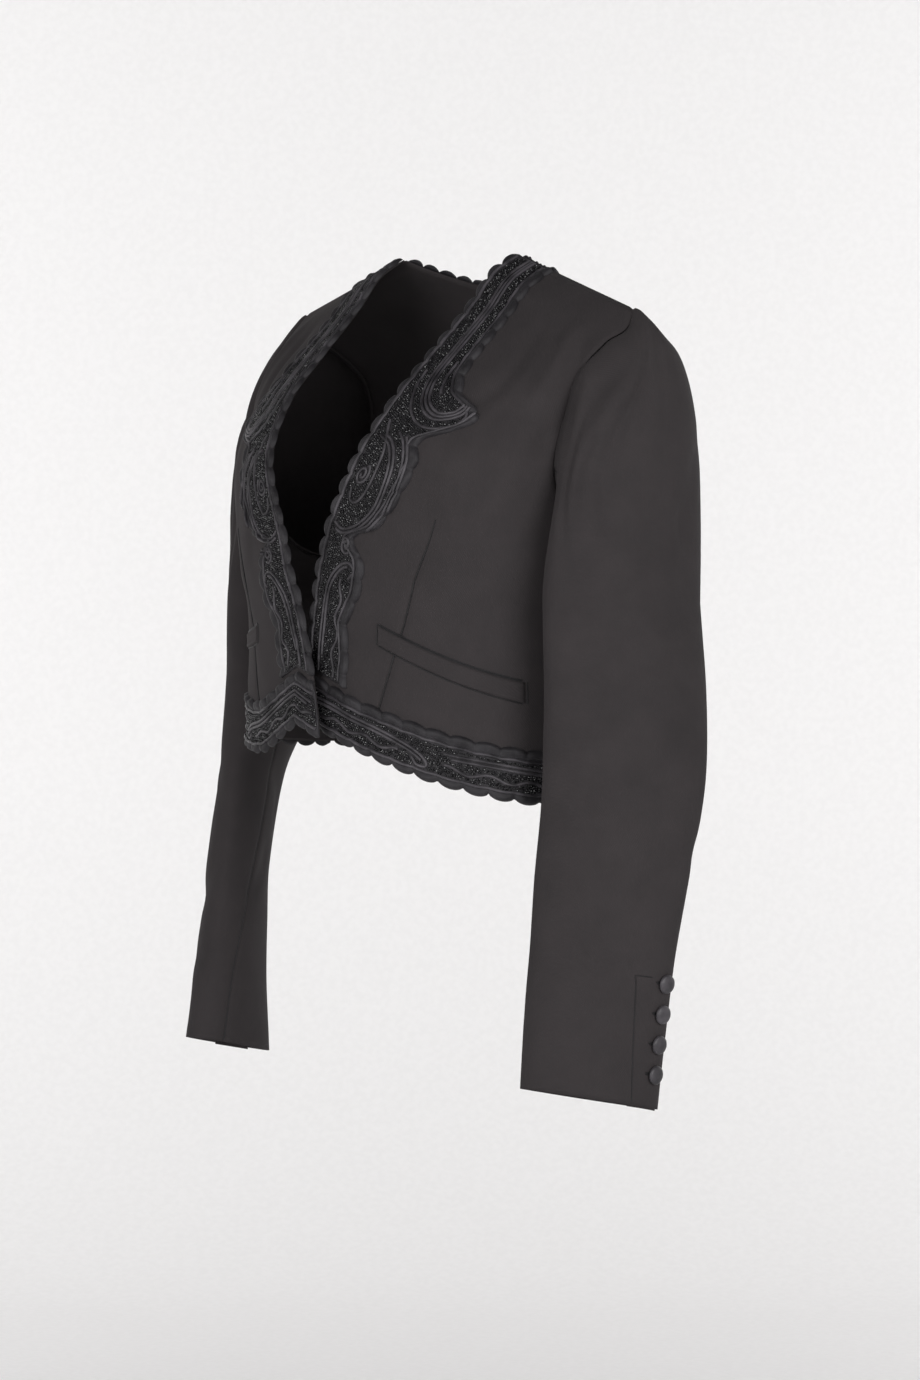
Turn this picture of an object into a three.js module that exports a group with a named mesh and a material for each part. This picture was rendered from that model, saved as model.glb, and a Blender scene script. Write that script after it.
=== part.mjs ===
// A cropped, collarless woven jacket on its hollow worn form, in millimetres.
// +X is the wearer's left, -Y the front and +Z up. The origin is the middle of the neck
// opening, level with the two neck points of the shoulder seams, where the jacket is held.
import * as THREE from 'three';

// Driving dimensions
const CLOTH = 2.0;
const SEAM_GAP = 0.4;
const LIFT_OFF = 0.9;
const RING_POWER = 2.5;
const UNDERARM = 0.58;
const CLOSURE = 0.38;
const FLAP_REACH = 110;
const BACK_NECK_HALF = 80;
const BACK_NECK_DROP = 0.045;
const HEM_STEP = 275;
const SLEEVE_START = 1.5;
const RIGHT_SHOULDER_RISE = 30;
const RIGHT_HEM_RISE = 47;
const RIGHT_SLEEVE_RISE = 8;
const BICEP_Z = -290;
const BUTTON_RADIUS = 7.5;
const BUTTON_SEAT = 0.05;
const BUTTON_HEIGHT = 4.6;
const BUTTON_PITCH = 23.5;
const BUTTON_COUNT = 4;
const LOWEST_BUTTON_Z = -656;
const BUTTON_ANGLE_LOW = -59;
const BUTTON_ANGLE_HIGH = -66;
const BUTTON_SIDES = 14;
const WELT_HEIGHT = 12;
const WELT_THICK = 2.2;
const WELT_FROM_X = 83;
const WELT_TO_X = 175;
const WELT_FROM_V = 0.345;
const WELT_TO_V = 0.295;
const ARMHOLE_MIDDLE_Z = -150;
const ARMHOLE_MIDDLE_Y = 8;
const SEAM_GAP_ANGLE = 0.3;

// Millimetres along the cloth for one unit of v, and for one degree round a sleeve
const FOLD_STEP = 380;
const FOLD_TURN = 0.9;

// Materials
const cloth = new THREE.MeshStandardMaterial({ color: 0x3e393b, roughness: 0.92, metalness: 0 });
const applique = new THREE.MeshStandardMaterial({ color: 0x2f2d30, roughness: 0.8, metalness: 0 });
const buttonCloth = new THREE.MeshStandardMaterial({ color: 0x363234, roughness: 0.7, metalness: 0 });

// Torso rings from the hem (v = 0) up to the shoulder seam (v = 1). A ring is level only in
// parts: zFront, zSide and zBack are its heights, middle is the Y of its widest place, and
// edgeL and edgeR are how far each front's edge lies towards its own side.
const TORSO_COLUMNS = ['v', 'zFront', 'zSide', 'zBack', 'width', 'front', 'back', 'middle', 'edgeL', 'edgeR'];
const TORSO_ROWS = [
  [0.00, -384, -452, -446, 187, 162, 118, 10, -1, -33],
  [0.16, -340, -407, -402, 186, 163, 114, 10, 2, -22],
  [0.32, -292, -348, -348, 187, 162, 112, 10, 8, -1],
  [0.45, -248, -295, -298, 189, 164, 114, 10, 20, 18],
  [0.58, -200, -245, -246, 200, 165, 116, 9, 42, 40],
  [0.68, -159, -181, -196, 217, 157, 115, 8, 64, 62],
  [0.78, -111, -140, -142, 223, 128, 108, 7, 76, 74],
  [0.86, -73, -110, -92, 237, 93, 92, 7, 78, 77],
  [0.93, -20, -88, -37, 247, 51, 62, 7, 79, 78],
  [0.97, 15, -74, 1, 241, 28, 38, 7, 79, 79],
  [1.00, 33, -56, 33, 233, 0.4, 0.4, 7, 80, 80],
];

// Half-width of the armhole's opening on the front and on the back, from the underarm
// (rise = 0) to the shoulder tip (rise = 1)
const ARMHOLE_COLUMNS = ['rise', 'front', 'back'];
const ARMHOLE_ROWS = [
  [0.00, 0.2, 0.2],
  [0.22, 40, 32],
  [0.35, 58, 46],
  [0.49, 68, 54],
  [0.69, 59, 58],
  [0.82, 50, 54],
  [0.91, 29, 34],
  [0.96, 13, 16],
  [1.00, 0.2, 0.2],
];

// Sleeve rings from the bicep to the cuff: centre, half-widths outwards and forwards, turn of
// the long axis in degrees, and the fall of the ring per millimetre towards the back
const SLEEVE_COLUMNS = ['z', 'x', 'y', 'out', 'fore', 'turn', 'fall'];
const SLEEVE_ROWS = [
  [-290, 231, -11, 36, 68, 14, 0.00],
  [-370, 243, -17, 34, 66, 28, 0.03],
  [-440, 256, -31, 27, 64, 42, 0.06],
  [-520, 256, -45, 26, 60, 45, 0.12],
  [-570, 254, -51, 27, 57, 43, 0.15],
  [-620, 252, -56, 28, 56, 37, 0.18],
  [-682, 250, -61, 31, 55, 29, 0.19],
];

// Angles of a sleeve's two seams, from the armhole (down = 0) past the bicep (1) to the cuff (2)
const SEAM_COLUMNS = ['down', 'front', 'back'];
const SEAM_ROWS = [
  [0.00, 126, -104],
  [1.00, 148, -100],
  [1.45, 152, -96],
  [1.75, 130, -90],
  [2.00, 126, -84],
];

// Largest soft folds. On a torso panel, x and v run along the fold's line; on a sleeve,
// angle and z. Depth is in millimetres, a trough when it is negative.
const FOLD_COLUMNS = ['a0', 'b0', 'a1', 'b1', 'width', 'depth'];
const FRONT_FOLDS = [
  [205, 0.84, 158, 0.54, 15, -3.5],
  [172, 0.66, 128, 0.48, 18, 2.0],
  [60, 0.08, 90, 0.30, 16, 1.8],
];
const BACK_FOLDS = [
  [150, 0.80, 120, 0.45, 16, -3.0],
  [60, 0.20, 40, 0.60, 18, 2.5],
];
const SLEEVE_FOLDS = [
  [60, -120, 66, -250, 9, -3.5],
  [34, -110, 40, -225, 10, 2.5],
  [-20, -420, 60, -455, 14, -2.5],
  [70, -520, 10, -560, 14, -2.5],
  [-90, -480, -30, -520, 14, -2.2],
];

// Border of the front edge: how far it reaches onto the cloth at each height of the edge
const FRONT_BORDER_COLUMNS = ['v', 'reach'];
const FRONT_BORDER_ROWS = [
  [0.155, 48],
  [0.24, 47],
  [0.32, 42],
  [0.40, 50],
  [0.475, 46],
  [0.52, 30],
  [0.56, 50],
  [0.66, 62],
  [0.715, 56],
  [0.735, 84],
  [0.765, 86],
  [0.795, 62],
  [0.84, 50],
  [1.00, 44],
];
const SCALLOP_PITCH = 22;
const SCALLOP_REACH = 4.5;
const FRONT_BORDER_TOP = 0.998;
const FRONT_BORDER_FOOT = 0.157;
const HEM_BORDER_HEIGHT = 39;
const BACK_NECK_BORDER = 0.065;
const BORDER_EDGE_THICK = 1.6;
const FRONT_EDGE_LENGTH = 470;
const HEM_LENGTH = 250;
const BACK_HEM_LENGTH = 440;
const BACK_NECK_LENGTH = 200;

// Relief across the border, from its outer edge (0) to its inner edge (1)
const RELIEF_COLUMNS = ['across', 'height'];
const RELIEF_ROWS = [
  [0.00, 1.4],
  [0.14, 3.8],
  [0.30, 2.0],
  [0.48, 3.2],
  [0.66, 2.2],
  [0.86, 3.6],
  [1.00, 1.4],
];

// Smooth value of each column between a table's rows, straight past its ends
function reader(columns, rows) {
  const slopes = rows.map((row, i) => columns.map((_, c) => {
    const before = rows[Math.max(0, i - 1)];
    const after = rows[Math.min(rows.length - 1, i + 1)];
    return (after[c] - before[c]) / (after[0] - before[0]);
  }));
  return (at) => {
    const rising = rows[1][0] > rows[0][0];
    let i = 0;
    while (i < rows.length - 2 && (rising ? at > rows[i + 1][0] : at < rows[i + 1][0])) i += 1;
    const span = rows[i + 1][0] - rows[i][0];
    const t = (at - rows[i][0]) / span;
    const result = {};
    columns.forEach((name, c) => {
      if (t < 0) result[name] = rows[i][c] + slopes[i][c] * (at - rows[i][0]);
      else if (t > 1) result[name] = rows[i + 1][c] + slopes[i + 1][c] * (at - rows[i + 1][0]);
      else {
        const t2 = t * t;
        const t3 = t2 * t;
        result[name] = rows[i][c] * (2 * t3 - 3 * t2 + 1) + slopes[i][c] * span * (t3 - 2 * t2 + t)
          + rows[i + 1][c] * (3 * t2 - 2 * t3) + slopes[i + 1][c] * span * (t3 - t2);
      }
    });
    return result;
  };
}

const torsoAt = reader(TORSO_COLUMNS, TORSO_ROWS);
const armholeAt = reader(ARMHOLE_COLUMNS, ARMHOLE_ROWS);
const sleeveAt = reader(SLEEVE_COLUMNS, SLEEVE_ROWS);
const frontBorderAt = reader(FRONT_BORDER_COLUMNS, FRONT_BORDER_ROWS);
const reliefAt = reader(RELIEF_COLUMNS, RELIEF_ROWS);
const seamAt = reader(SEAM_COLUMNS, SEAM_ROWS);

const clamp = (value, low, high) => Math.min(high, Math.max(low, value));
const lerp = (a, b, t) => a + (b - a) * t;
const smooth = (t) => {
  const s = clamp(t, 0, 1);
  return s * s * (3 - 2 * s);
};
const radians = (degrees) => degrees * Math.PI / 180;

// Height of the folds of a list at one place; the two scales turn a and b into millimetres
function foldHeight(folds, a, b, scaleA, scaleB) {
  let height = 0;
  for (const row of folds) {
    const fold = Object.fromEntries(FOLD_COLUMNS.map((name, c) => [name, row[c]]));
    const alongA = (fold.a1 - fold.a0) * scaleA;
    const alongB = (fold.b1 - fold.b0) * scaleB;
    const pa = (a - fold.a0) * scaleA;
    const pb = (b - fold.b0) * scaleB;
    const length = Math.hypot(alongA, alongB);
    const t = (pa * alongA + pb * alongB) / (length * length);
    const off = (pa * alongB - pb * alongA) / length;
    const ends = smooth((t + 0.25) / 0.45) * smooth((1.25 - t) / 0.45);
    height += fold.depth * ends * Math.exp(-((off / fold.width) ** 2));
  }
  return height;
}

// Armhole half-width at a ring
function armholeHalf(v, face) {
  const rise = Math.sqrt(clamp((v - UNDERARM) / (1 - UNDERARM), 0, 1));
  return Math.max(SEAM_GAP / 2, armholeAt(rise)[face]);
}

// How far out the overlapping right front stands off the left one
function flapLift(v, x, edge) {
  const low = lerp(15, 8, clamp(v / CLOSURE, 0, 1)) * smooth((0.56 - v) / 0.16);
  return low * smooth((edge + FLAP_REACH - x) / FLAP_REACH);
}

// Share of a ring's half-width at an angle from the middle of the front, and the reverse
const shareAt = (angle) => Math.abs(Math.sin(angle)) ** (2 / RING_POWER);
const angleAt = (share) => Math.asin(clamp(share, 0, 1) ** (RING_POWER / 2));

// The right side hangs higher than the left, at the shoulder and at the side of the hem
function rightRise(share, v) {
  const shoulder = RIGHT_SHOULDER_RISE * share * smooth((v - 0.5) / 0.5);
  return shoulder + RIGHT_HEM_RISE * smooth((share - 0.3) / 0.7) * smooth((0.6 - v) / 0.44);
}

// A point of the torso at ring v; the angle runs from the middle of the front (0) round the
// side to the middle of the back (pi), and past 0 to the front's other side
function torsoPoint(side, angle, v) {
  const ring = torsoAt(v);
  const x = Math.sign(Math.sin(angle)) * shareAt(angle) * ring.width;
  const share = Math.abs(x) / ring.width;
  const deep = Math.abs(Math.cos(angle)) ** (2 / RING_POWER);
  const rise = side < 0 ? rightRise(share, v) : 0;
  if (Math.cos(angle) >= 0) {
    const edge = side > 0 ? ring.edgeL : ring.edgeR;
    const fold = foldHeight(FRONT_FOLDS, x, v, 1, FOLD_STEP) * smooth(ring.front / 60);
    const lift = side < 0 ? flapLift(v, x, edge) : 0;
    const z = ring.zFront + (ring.zSide - ring.zFront) * share + rise;
    return new THREE.Vector3(side * x, ring.middle - ring.front * deep - fold * deep - lift, z);
  }
  const fold = foldHeight(BACK_FOLDS, Math.abs(x), v, 1, FOLD_STEP) * smooth(ring.back / 60);
  const crown = lerp(1 - share, 1 - share * share, smooth((1 - v) / 0.12));
  const z = ring.zSide + (ring.zBack - ring.zSide) * crown + rise;
  return new THREE.Vector3(side * x, ring.middle + ring.back * deep + fold * deep, z);
}

// Outward normal of the torso at a place
function torsoNormal(side, angle, v) {
  const high = Math.min(v + 0.004, 1);
  const around = torsoPoint(side, angle + 0.01, v).sub(torsoPoint(side, angle - 0.01, v));
  const upwards = torsoPoint(side, angle, high).sub(torsoPoint(side, angle, high - 0.008));
  const normal = around.cross(upwards).multiplyScalar(side);
  if (v >= 0.999) normal.y = 0;
  return normal.normalize();
}

// Places on the two faces, x millimetres towards their own side of the middle
function frontPlace(side, x, v) {
  const angle = angleAt(Math.abs(x) / torsoAt(v).width);
  return { side, angle: x < 0 ? -angle : angle, v };
}

function backPlace(x, v) {
  const side = x < 0 ? -1 : 1;
  return { side, angle: Math.PI - angleAt(Math.abs(x) / torsoAt(v).width), v };
}

const pointAt = (place) => torsoPoint(place.side, place.angle, place.v);
const normalAt = (place) => torsoNormal(place.side, place.angle, place.v);

// The x at which a ring reaches the armhole, or the side seam below it
function armholeX(v, face) {
  const ring = torsoAt(v);
  const depth = Math.max(ring[face], 0.5);
  const share = clamp(armholeHalf(v, face) / depth, 0, 0.999);
  return ring.width * (1 - share ** RING_POWER) ** (1 / RING_POWER);
}

// Closed wall between an outer and an inner grid of points, rows by columns
function wallMesh(name, outer, inner, material) {
  const rows = outer.length;
  const cols = outer[0].length;
  const positions = [];
  const add = (p) => {
    positions.push(p.x, p.y, p.z);
    return positions.length / 3 - 1;
  };
  const o = outer.map((row) => row.map(add));
  const n = inner.map((row) => row.map(add));
  const index = [];
  const quad = (a, b, c, d) => index.push(a, b, c, a, c, d);
  const top = rows - 1;
  const end = cols - 1;
  for (let i = 0; i < top; i += 1) {
    for (let j = 0; j < end; j += 1) {
      quad(o[i][j], o[i][j + 1], o[i + 1][j + 1], o[i + 1][j]);
      quad(n[i][j], n[i + 1][j], n[i + 1][j + 1], n[i][j + 1]);
    }
    quad(o[i][0], o[i + 1][0], n[i + 1][0], n[i][0]);
    quad(o[i][end], n[i][end], n[i + 1][end], o[i + 1][end]);
  }
  for (let j = 0; j < end; j += 1) {
    quad(o[0][j], n[0][j], n[0][j + 1], o[0][j + 1]);
    quad(o[top][j], o[top][j + 1], n[top][j + 1], n[top][j]);
  }
  let volume = 0;
  const at = (i) => new THREE.Vector3(positions[3 * i], positions[3 * i + 1], positions[3 * i + 2]);
  for (let i = 0; i < index.length; i += 3) {
    volume += at(index[i]).dot(at(index[i + 1]).cross(at(index[i + 2])));
  }
  if (volume < 0) index.reverse();
  const geometry = new THREE.BufferGeometry();
  geometry.setAttribute('position', new THREE.Float32BufferAttribute(positions, 3));
  geometry.setIndex(index);
  geometry.computeVertexNormals();
  const mesh = new THREE.Mesh(geometry, material);
  mesh.name = name;
  return mesh;
}

// Grid of points pushed along their normals
const moved = (points, normals, distance) => points.map((row, i) => row.map((point, j) => {
  const far = typeof distance === 'function' ? distance(i, j) : distance;
  return point.clone().addScaledVector(normals[i][j], far);
}));

// Rings of the panel grids, closer together where the armhole turns
function panelRings(lower, upper) {
  const rings = [];
  for (let i = 0; i < lower; i += 1) rings.push(UNDERARM * i / lower);
  for (let i = 0; i <= upper; i += 1) rings.push(UNDERARM + (1 - UNDERARM) * (i / upper) ** 1.2);
  return rings;
}

function frontPanel(side) {
  const columns = 18;
  const rings = panelRings(8, 14);
  const places = rings.map((v) => {
    const from = side > 0 ? torsoAt(v).edgeL : torsoAt(v).edgeR;
    const to = armholeX(v, 'front');
    const row = [];
    for (let j = 0; j <= columns; j += 1) {
      const t = j / columns;
      const eased = lerp(t, Math.sin(t * Math.PI / 2), 0.55);
      row.push(frontPlace(side, lerp(from, to, eased), v));
    }
    return row;
  });
  const points = places.map((row) => row.map(pointAt));
  points[points.length - 1].forEach((point) => { point.y -= SEAM_GAP / 2; });
  const normals = places.map((row) => row.map(normalAt));
  return wallMesh(side > 0 ? 'front_left' : 'front_right', points, moved(points, normals, -CLOTH), cloth);
}

// Ring at which the back ends under the neck opening
function backTop(x) {
  const share = clamp(Math.abs(x) / BACK_NECK_HALF, 0, 1);
  return 1 - BACK_NECK_DROP * (1 - share * share);
}

function backPanel() {
  const columns = 30;
  const rings = panelRings(6, 13);
  const places = rings.map((v) => {
    const row = [];
    for (let j = 0; j <= columns; j += 1) {
      const x = armholeX(v, 'back') * Math.sin((-1 + 2 * j / columns) * Math.PI / 2);
      const top = lerp(1, backTop(x), smooth((v - UNDERARM) / (1 - UNDERARM)));
      row.push(backPlace(x, v * top));
    }
    return row;
  });
  const points = places.map((row) => row.map(pointAt));
  points[points.length - 1].forEach((point) => { point.y += SEAM_GAP / 2; });
  const normals = places.map((row) => row.map(normalAt));
  return wallMesh('back', points, moved(points, normals, -CLOTH), cloth);
}

// The armhole's outline; angle 0 is the shoulder tip, 90 the front, 180 the underarm. It is
// drawn in a little, so that the sleeve starts inside the panels' edges.
function armholePoint(side, angle) {
  const rise = (1 + Math.cos(radians(angle))) / 2;
  const v = UNDERARM + (1 - UNDERARM) * rise;
  const face = angle <= 180 ? 'front' : 'back';
  const x = armholeX(v, face);
  const point = pointAt(face === 'front' ? frontPlace(side, x, v) : { ...backPlace(x, v), side });
  const inwards = new THREE.Vector3(0, ARMHOLE_MIDDLE_Y - point.y, ARMHOLE_MIDDLE_Z - point.z).normalize();
  point.addScaledVector(inwards, SLEEVE_START);
  point.x += side * SLEEVE_START;
  return point;
}

// A point of a sleeve's ring below the bicep
function sleeveRingPoint(side, angle, z) {
  const ring = sleeveAt(z);
  const out = ring.out * Math.cos(radians(angle));
  const fore = ring.fore * Math.sin(radians(angle));
  const turn = radians(ring.turn);
  const dx = out * Math.cos(turn) - fore * Math.sin(turn);
  const dy = -fore * Math.cos(turn) - out * Math.sin(turn);
  const fold = foldHeight(SLEEVE_FOLDS, angle > 180 ? angle - 360 : angle, z, FOLD_TURN, 1);
  const swell = 1 + fold / Math.hypot(dx, dy);
  const level = z + (side < 0 ? RIGHT_SLEEVE_RISE : 0);
  return new THREE.Vector3(side * (ring.x + dx * swell), ring.y + dy * swell, level - ring.fall * dy);
}

// A point of the sleeve: down = 0 at the armhole, 1 at the bicep, 2 at the cuff
function sleevePoint(side, angle, down) {
  const cuff = SLEEVE_ROWS[SLEEVE_ROWS.length - 1][0];
  if (down >= 1) return sleeveRingPoint(side, angle, lerp(BICEP_Z, cuff, down - 1));
  const start = armholePoint(side, angle);
  const end = sleeveRingPoint(side, angle, BICEP_Z);
  const top = (1 + Math.cos(radians(angle))) / 2;
  const fore = Math.sin(radians(angle));
  const fall = start.z - end.z;
  const leave = new THREE.Vector3(side * lerp(4, 150, top), -fore * 26, -lerp(40, 16, top));
  const arrive = new THREE.Vector3(0, -fore * 2, -fall * lerp(1, 1.15, top));
  const t = down;
  const t2 = t * t;
  const t3 = t2 * t;
  const point = start.clone().multiplyScalar(2 * t3 - 3 * t2 + 1)
    .addScaledVector(leave, t3 - 2 * t2 + t)
    .addScaledVector(end, 3 * t2 - 2 * t3)
    .addScaledVector(arrive, t3 - t2);
  const turn = angle > 180 ? angle - 360 : angle;
  const fold = foldHeight(SLEEVE_FOLDS, turn, point.z, FOLD_TURN, 1) * smooth(t / 0.25);
  point.x += side * fold * Math.cos(radians(angle));
  point.y -= fold * fore;
  return point;
}

// Outward normal of the sleeve
function sleeveNormal(side, angle, down) {
  const low = Math.max(0, down - 0.01);
  const turn = (degrees) => ((degrees % 360) + 360) % 360;
  const around = sleevePoint(side, turn(angle + 1.5), down).sub(sleevePoint(side, turn(angle - 1.5), down));
  const along = sleevePoint(side, angle, low + 0.02).sub(sleevePoint(side, angle, low));
  return around.cross(along).multiplyScalar(side).normalize();
}

function sleevePanel(side, part) {
  const columns = part === 'upper' ? 14 : 8;
  const capRows = 8;
  const armRows = 11;
  const steps = [];
  for (let i = 0; i < capRows; i += 1) steps.push((i / capRows) ** 1.15);
  for (let i = 0; i <= armRows; i += 1) steps.push(1 + i / armRows);
  const grid = steps.map((down) => {
    const seam = seamAt(down);
    const from = (part === 'upper' ? seam.back : seam.front) + SEAM_GAP_ANGLE;
    const to = (part === 'upper' ? seam.front : seam.back + 360) - SEAM_GAP_ANGLE;
    const row = [];
    for (let j = 0; j <= columns; j += 1) row.push((lerp(from, to, j / columns) + 360) % 360);
    return row;
  });
  const points = grid.map((row, i) => row.map((angle) => sleevePoint(side, angle, steps[i])));
  const normals = grid.map((row, i) => row.map((angle) => sleeveNormal(side, angle, steps[i])));
  const name = `${part}_sleeve_${side > 0 ? 'left' : 'right'}`;
  return wallMesh(name, points, moved(points, normals, -CLOTH), cloth);
}

// Scalloped swing of a border's outer edge, from -1 in a notch to 1 on a petal
const scallop = (along) => Math.abs(Math.sin(Math.PI * along / SCALLOP_PITCH)) * 2 - 1;

// A border solid from a function that places (along, across) on a panel
function borderMesh(name, alongSteps, acrossSteps, place, alongMm) {
  const places = [];
  for (let i = 0; i <= alongSteps; i += 1) {
    const row = [];
    for (let j = 0; j <= acrossSteps; j += 1) row.push(place(i / alongSteps, j / acrossSteps));
    places.push(row);
  }
  const points = places.map((row) => row.map(pointAt));
  const normals = places.map((row) => row.map(normalAt));
  const height = (i, j) => {
    const across = j / acrossSteps;
    const petal = 0.75 + 0.25 * scallop(alongMm * i / alongSteps);
    return LIFT_OFF + BORDER_EDGE_THICK + (reliefAt(across).height - BORDER_EDGE_THICK / 2) * petal;
  };
  return wallMesh(name, moved(points, normals, height), moved(points, normals, LIFT_OFF), applique);
}

function frontBorder(side) {
  const edgeName = side > 0 ? 'edgeL' : 'edgeR';
  const place = (along, across) => {
    const v = lerp(FRONT_BORDER_FOOT, FRONT_BORDER_TOP, along);
    const edge = torsoAt(v)[edgeName];
    const mm = along * FRONT_EDGE_LENGTH;
    const out = edge - SCALLOP_REACH * (1 + scallop(mm)) / 2;
    const inside = edge + frontBorderAt(v).reach + 1.5 * scallop(mm + SCALLOP_PITCH / 2);
    return frontPlace(side, lerp(out, inside, across), v);
  };
  const name = `border_front_${side > 0 ? 'left' : 'right'}`;
  return borderMesh(name, 60, 6, place, FRONT_EDGE_LENGTH);
}

function hemBorder(side) {
  const edgeName = side > 0 ? 'edgeL' : 'edgeR';
  const place = (along, across) => {
    const mm = along * HEM_LENGTH;
    const low = -SCALLOP_REACH * (1 + scallop(mm)) / 2;
    const high = HEM_BORDER_HEIGHT + 1.5 * scallop(mm + SCALLOP_PITCH / 2);
    const v = lerp(low, high, across) / HEM_STEP;
    const ring = torsoAt(v);
    const share = lerp((ring[edgeName] - 2) / ring.width, 1, along);
    const turned = lerp(share, Math.sin(share * Math.PI / 2), clamp(along, 0, 1) * 0.6);
    const limit = (1 - ((SEAM_GAP + 0.6) / ring.front) ** RING_POWER) ** (1 / RING_POWER);
    return frontPlace(side, ring.width * Math.min(turned, limit), v);
  };
  const name = `border_hem_${side > 0 ? 'left' : 'right'}`;
  return borderMesh(name, 30, 6, place, HEM_LENGTH);
}

function backHemBorder() {
  const place = (along, across) => {
    const mm = along * BACK_HEM_LENGTH;
    const low = -SCALLOP_REACH * (1 + scallop(mm)) / 2;
    const v = lerp(low, HEM_BORDER_HEIGHT, across) / HEM_STEP;
    const ring = torsoAt(v);
    const limit = (1 - ((SEAM_GAP + 0.6) / ring.back) ** RING_POWER) ** (1 / RING_POWER);
    const share = Math.sin((along * 2 - 1) * Math.PI / 2);
    return backPlace(ring.width * clamp(share, -limit, limit), v);
  };
  return borderMesh('border_hem_back', 40, 4, place, BACK_HEM_LENGTH);
}

function backNeckBorder() {
  const place = (along, across) => {
    const reach = lerp(-1, 1, along);
    const x = reach * lerp(BACK_NECK_HALF - 1, BACK_NECK_HALF + 38, across);
    const top = backTop(reach * BACK_NECK_HALF) - 0.003;
    return backPlace(x, top - BACK_NECK_BORDER * across * Math.cos(reach * Math.PI / 2) ** 0.8);
  };
  return borderMesh('border_neck_back', 24, 4, place, BACK_NECK_LENGTH);
}

// Slanted pocket welt on a front
function welt(side) {
  const place = (along, across) => {
    const x = lerp(WELT_FROM_X, WELT_TO_X, along);
    const topV = lerp(WELT_FROM_V, WELT_TO_V, along);
    return frontPlace(side, x, topV - (1 - across) * WELT_HEIGHT / HEM_STEP);
  };
  const places = [];
  for (let i = 0; i <= 12; i += 1) places.push([place(i / 12, 0), place(i / 12, 0.5), place(i / 12, 1)]);
  const points = places.map((row) => row.map(pointAt));
  const normals = places.map((row) => row.map(normalAt));
  const outer = moved(points, normals, LIFT_OFF + WELT_THICK);
  return wallMesh(`welt_${side > 0 ? 'left' : 'right'}`, outer, moved(points, normals, LIFT_OFF), cloth);
}

// Covered button seated on the sleeve, its axis along the cloth's normal
function button(side, number) {
  const z = LOWEST_BUTTON_Z + BUTTON_PITCH * (number - 1);
  const angle = 360 + lerp(BUTTON_ANGLE_LOW, BUTTON_ANGLE_HIGH, (number - 1) / (BUTTON_COUNT - 1));
  const at = sleeveRingPoint(side, angle, z);
  const beside = sleeveRingPoint(side, angle + 1, z).sub(at);
  const above = sleeveRingPoint(side, angle, z + 4).sub(at);
  const normal = beside.cross(above).normalize();
  if (normal.x * side < 0) normal.negate();
  const profile = [];
  profile.push(new THREE.Vector2(0, 0));
  profile.push(new THREE.Vector2(BUTTON_RADIUS - 1.6, 0));
  profile.push(new THREE.Vector2(BUTTON_RADIUS, 1.5));
  profile.push(new THREE.Vector2(BUTTON_RADIUS - 0.7, 2.9));
  profile.push(new THREE.Vector2(BUTTON_RADIUS * 0.55, BUTTON_HEIGHT - 0.5));
  profile.push(new THREE.Vector2(0, BUTTON_HEIGHT));
  const mesh = new THREE.Mesh(new THREE.LatheGeometry(profile, BUTTON_SIDES), buttonCloth);
  mesh.quaternion.setFromUnitVectors(new THREE.Vector3(0, 1, 0), normal);
  mesh.position.copy(at.addScaledVector(normal, BUTTON_SEAT));
  mesh.name = `button_${side > 0 ? 'left' : 'right'}_${number}`;
  return mesh;
}

const jacket = new THREE.Group();
jacket.name = 'woven_jacket';
jacket.add(backPanel(), backHemBorder(), backNeckBorder());
for (const side of [1, -1]) {
  jacket.add(frontPanel(side), frontBorder(side), hemBorder(side), welt(side));
  jacket.add(sleevePanel(side, 'upper'), sleevePanel(side, 'under'));
  for (let number = 1; number <= BUTTON_COUNT; number += 1) jacket.add(button(side, number));
}

export default jacket;
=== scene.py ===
"""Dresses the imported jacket: cloth with its creases, applique border, covered buttons, stage."""
import math

import bpy
import numpy as np
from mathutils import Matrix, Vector


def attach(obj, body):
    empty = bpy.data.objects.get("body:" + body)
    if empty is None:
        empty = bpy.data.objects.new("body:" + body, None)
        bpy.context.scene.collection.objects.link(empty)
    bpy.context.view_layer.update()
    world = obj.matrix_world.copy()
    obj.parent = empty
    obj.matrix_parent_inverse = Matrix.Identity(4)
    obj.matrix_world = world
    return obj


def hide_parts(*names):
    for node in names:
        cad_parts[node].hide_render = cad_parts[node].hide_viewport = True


bl_info = {
    "name": "Cropped woven jacket",
    "version": (1, 0, 0),
    "blender": (4, 5, 0),
    "location": "View3D > Sidebar > Jacket",
    "description": "Builds the cloth, border and buttons of a cropped collarless jacket",
    "category": "Object",
}

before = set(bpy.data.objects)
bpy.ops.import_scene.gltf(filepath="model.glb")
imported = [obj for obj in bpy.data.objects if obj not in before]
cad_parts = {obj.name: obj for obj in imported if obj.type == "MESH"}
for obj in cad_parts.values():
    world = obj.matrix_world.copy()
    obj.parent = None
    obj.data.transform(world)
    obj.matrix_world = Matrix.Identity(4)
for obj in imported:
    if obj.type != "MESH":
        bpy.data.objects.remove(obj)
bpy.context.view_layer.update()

# Sizes are in millimetres, as in the solids. +X is the wearer's left, -Y the front, +Z up.
MM = 0.001
RING_POWER = 2.5
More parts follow.
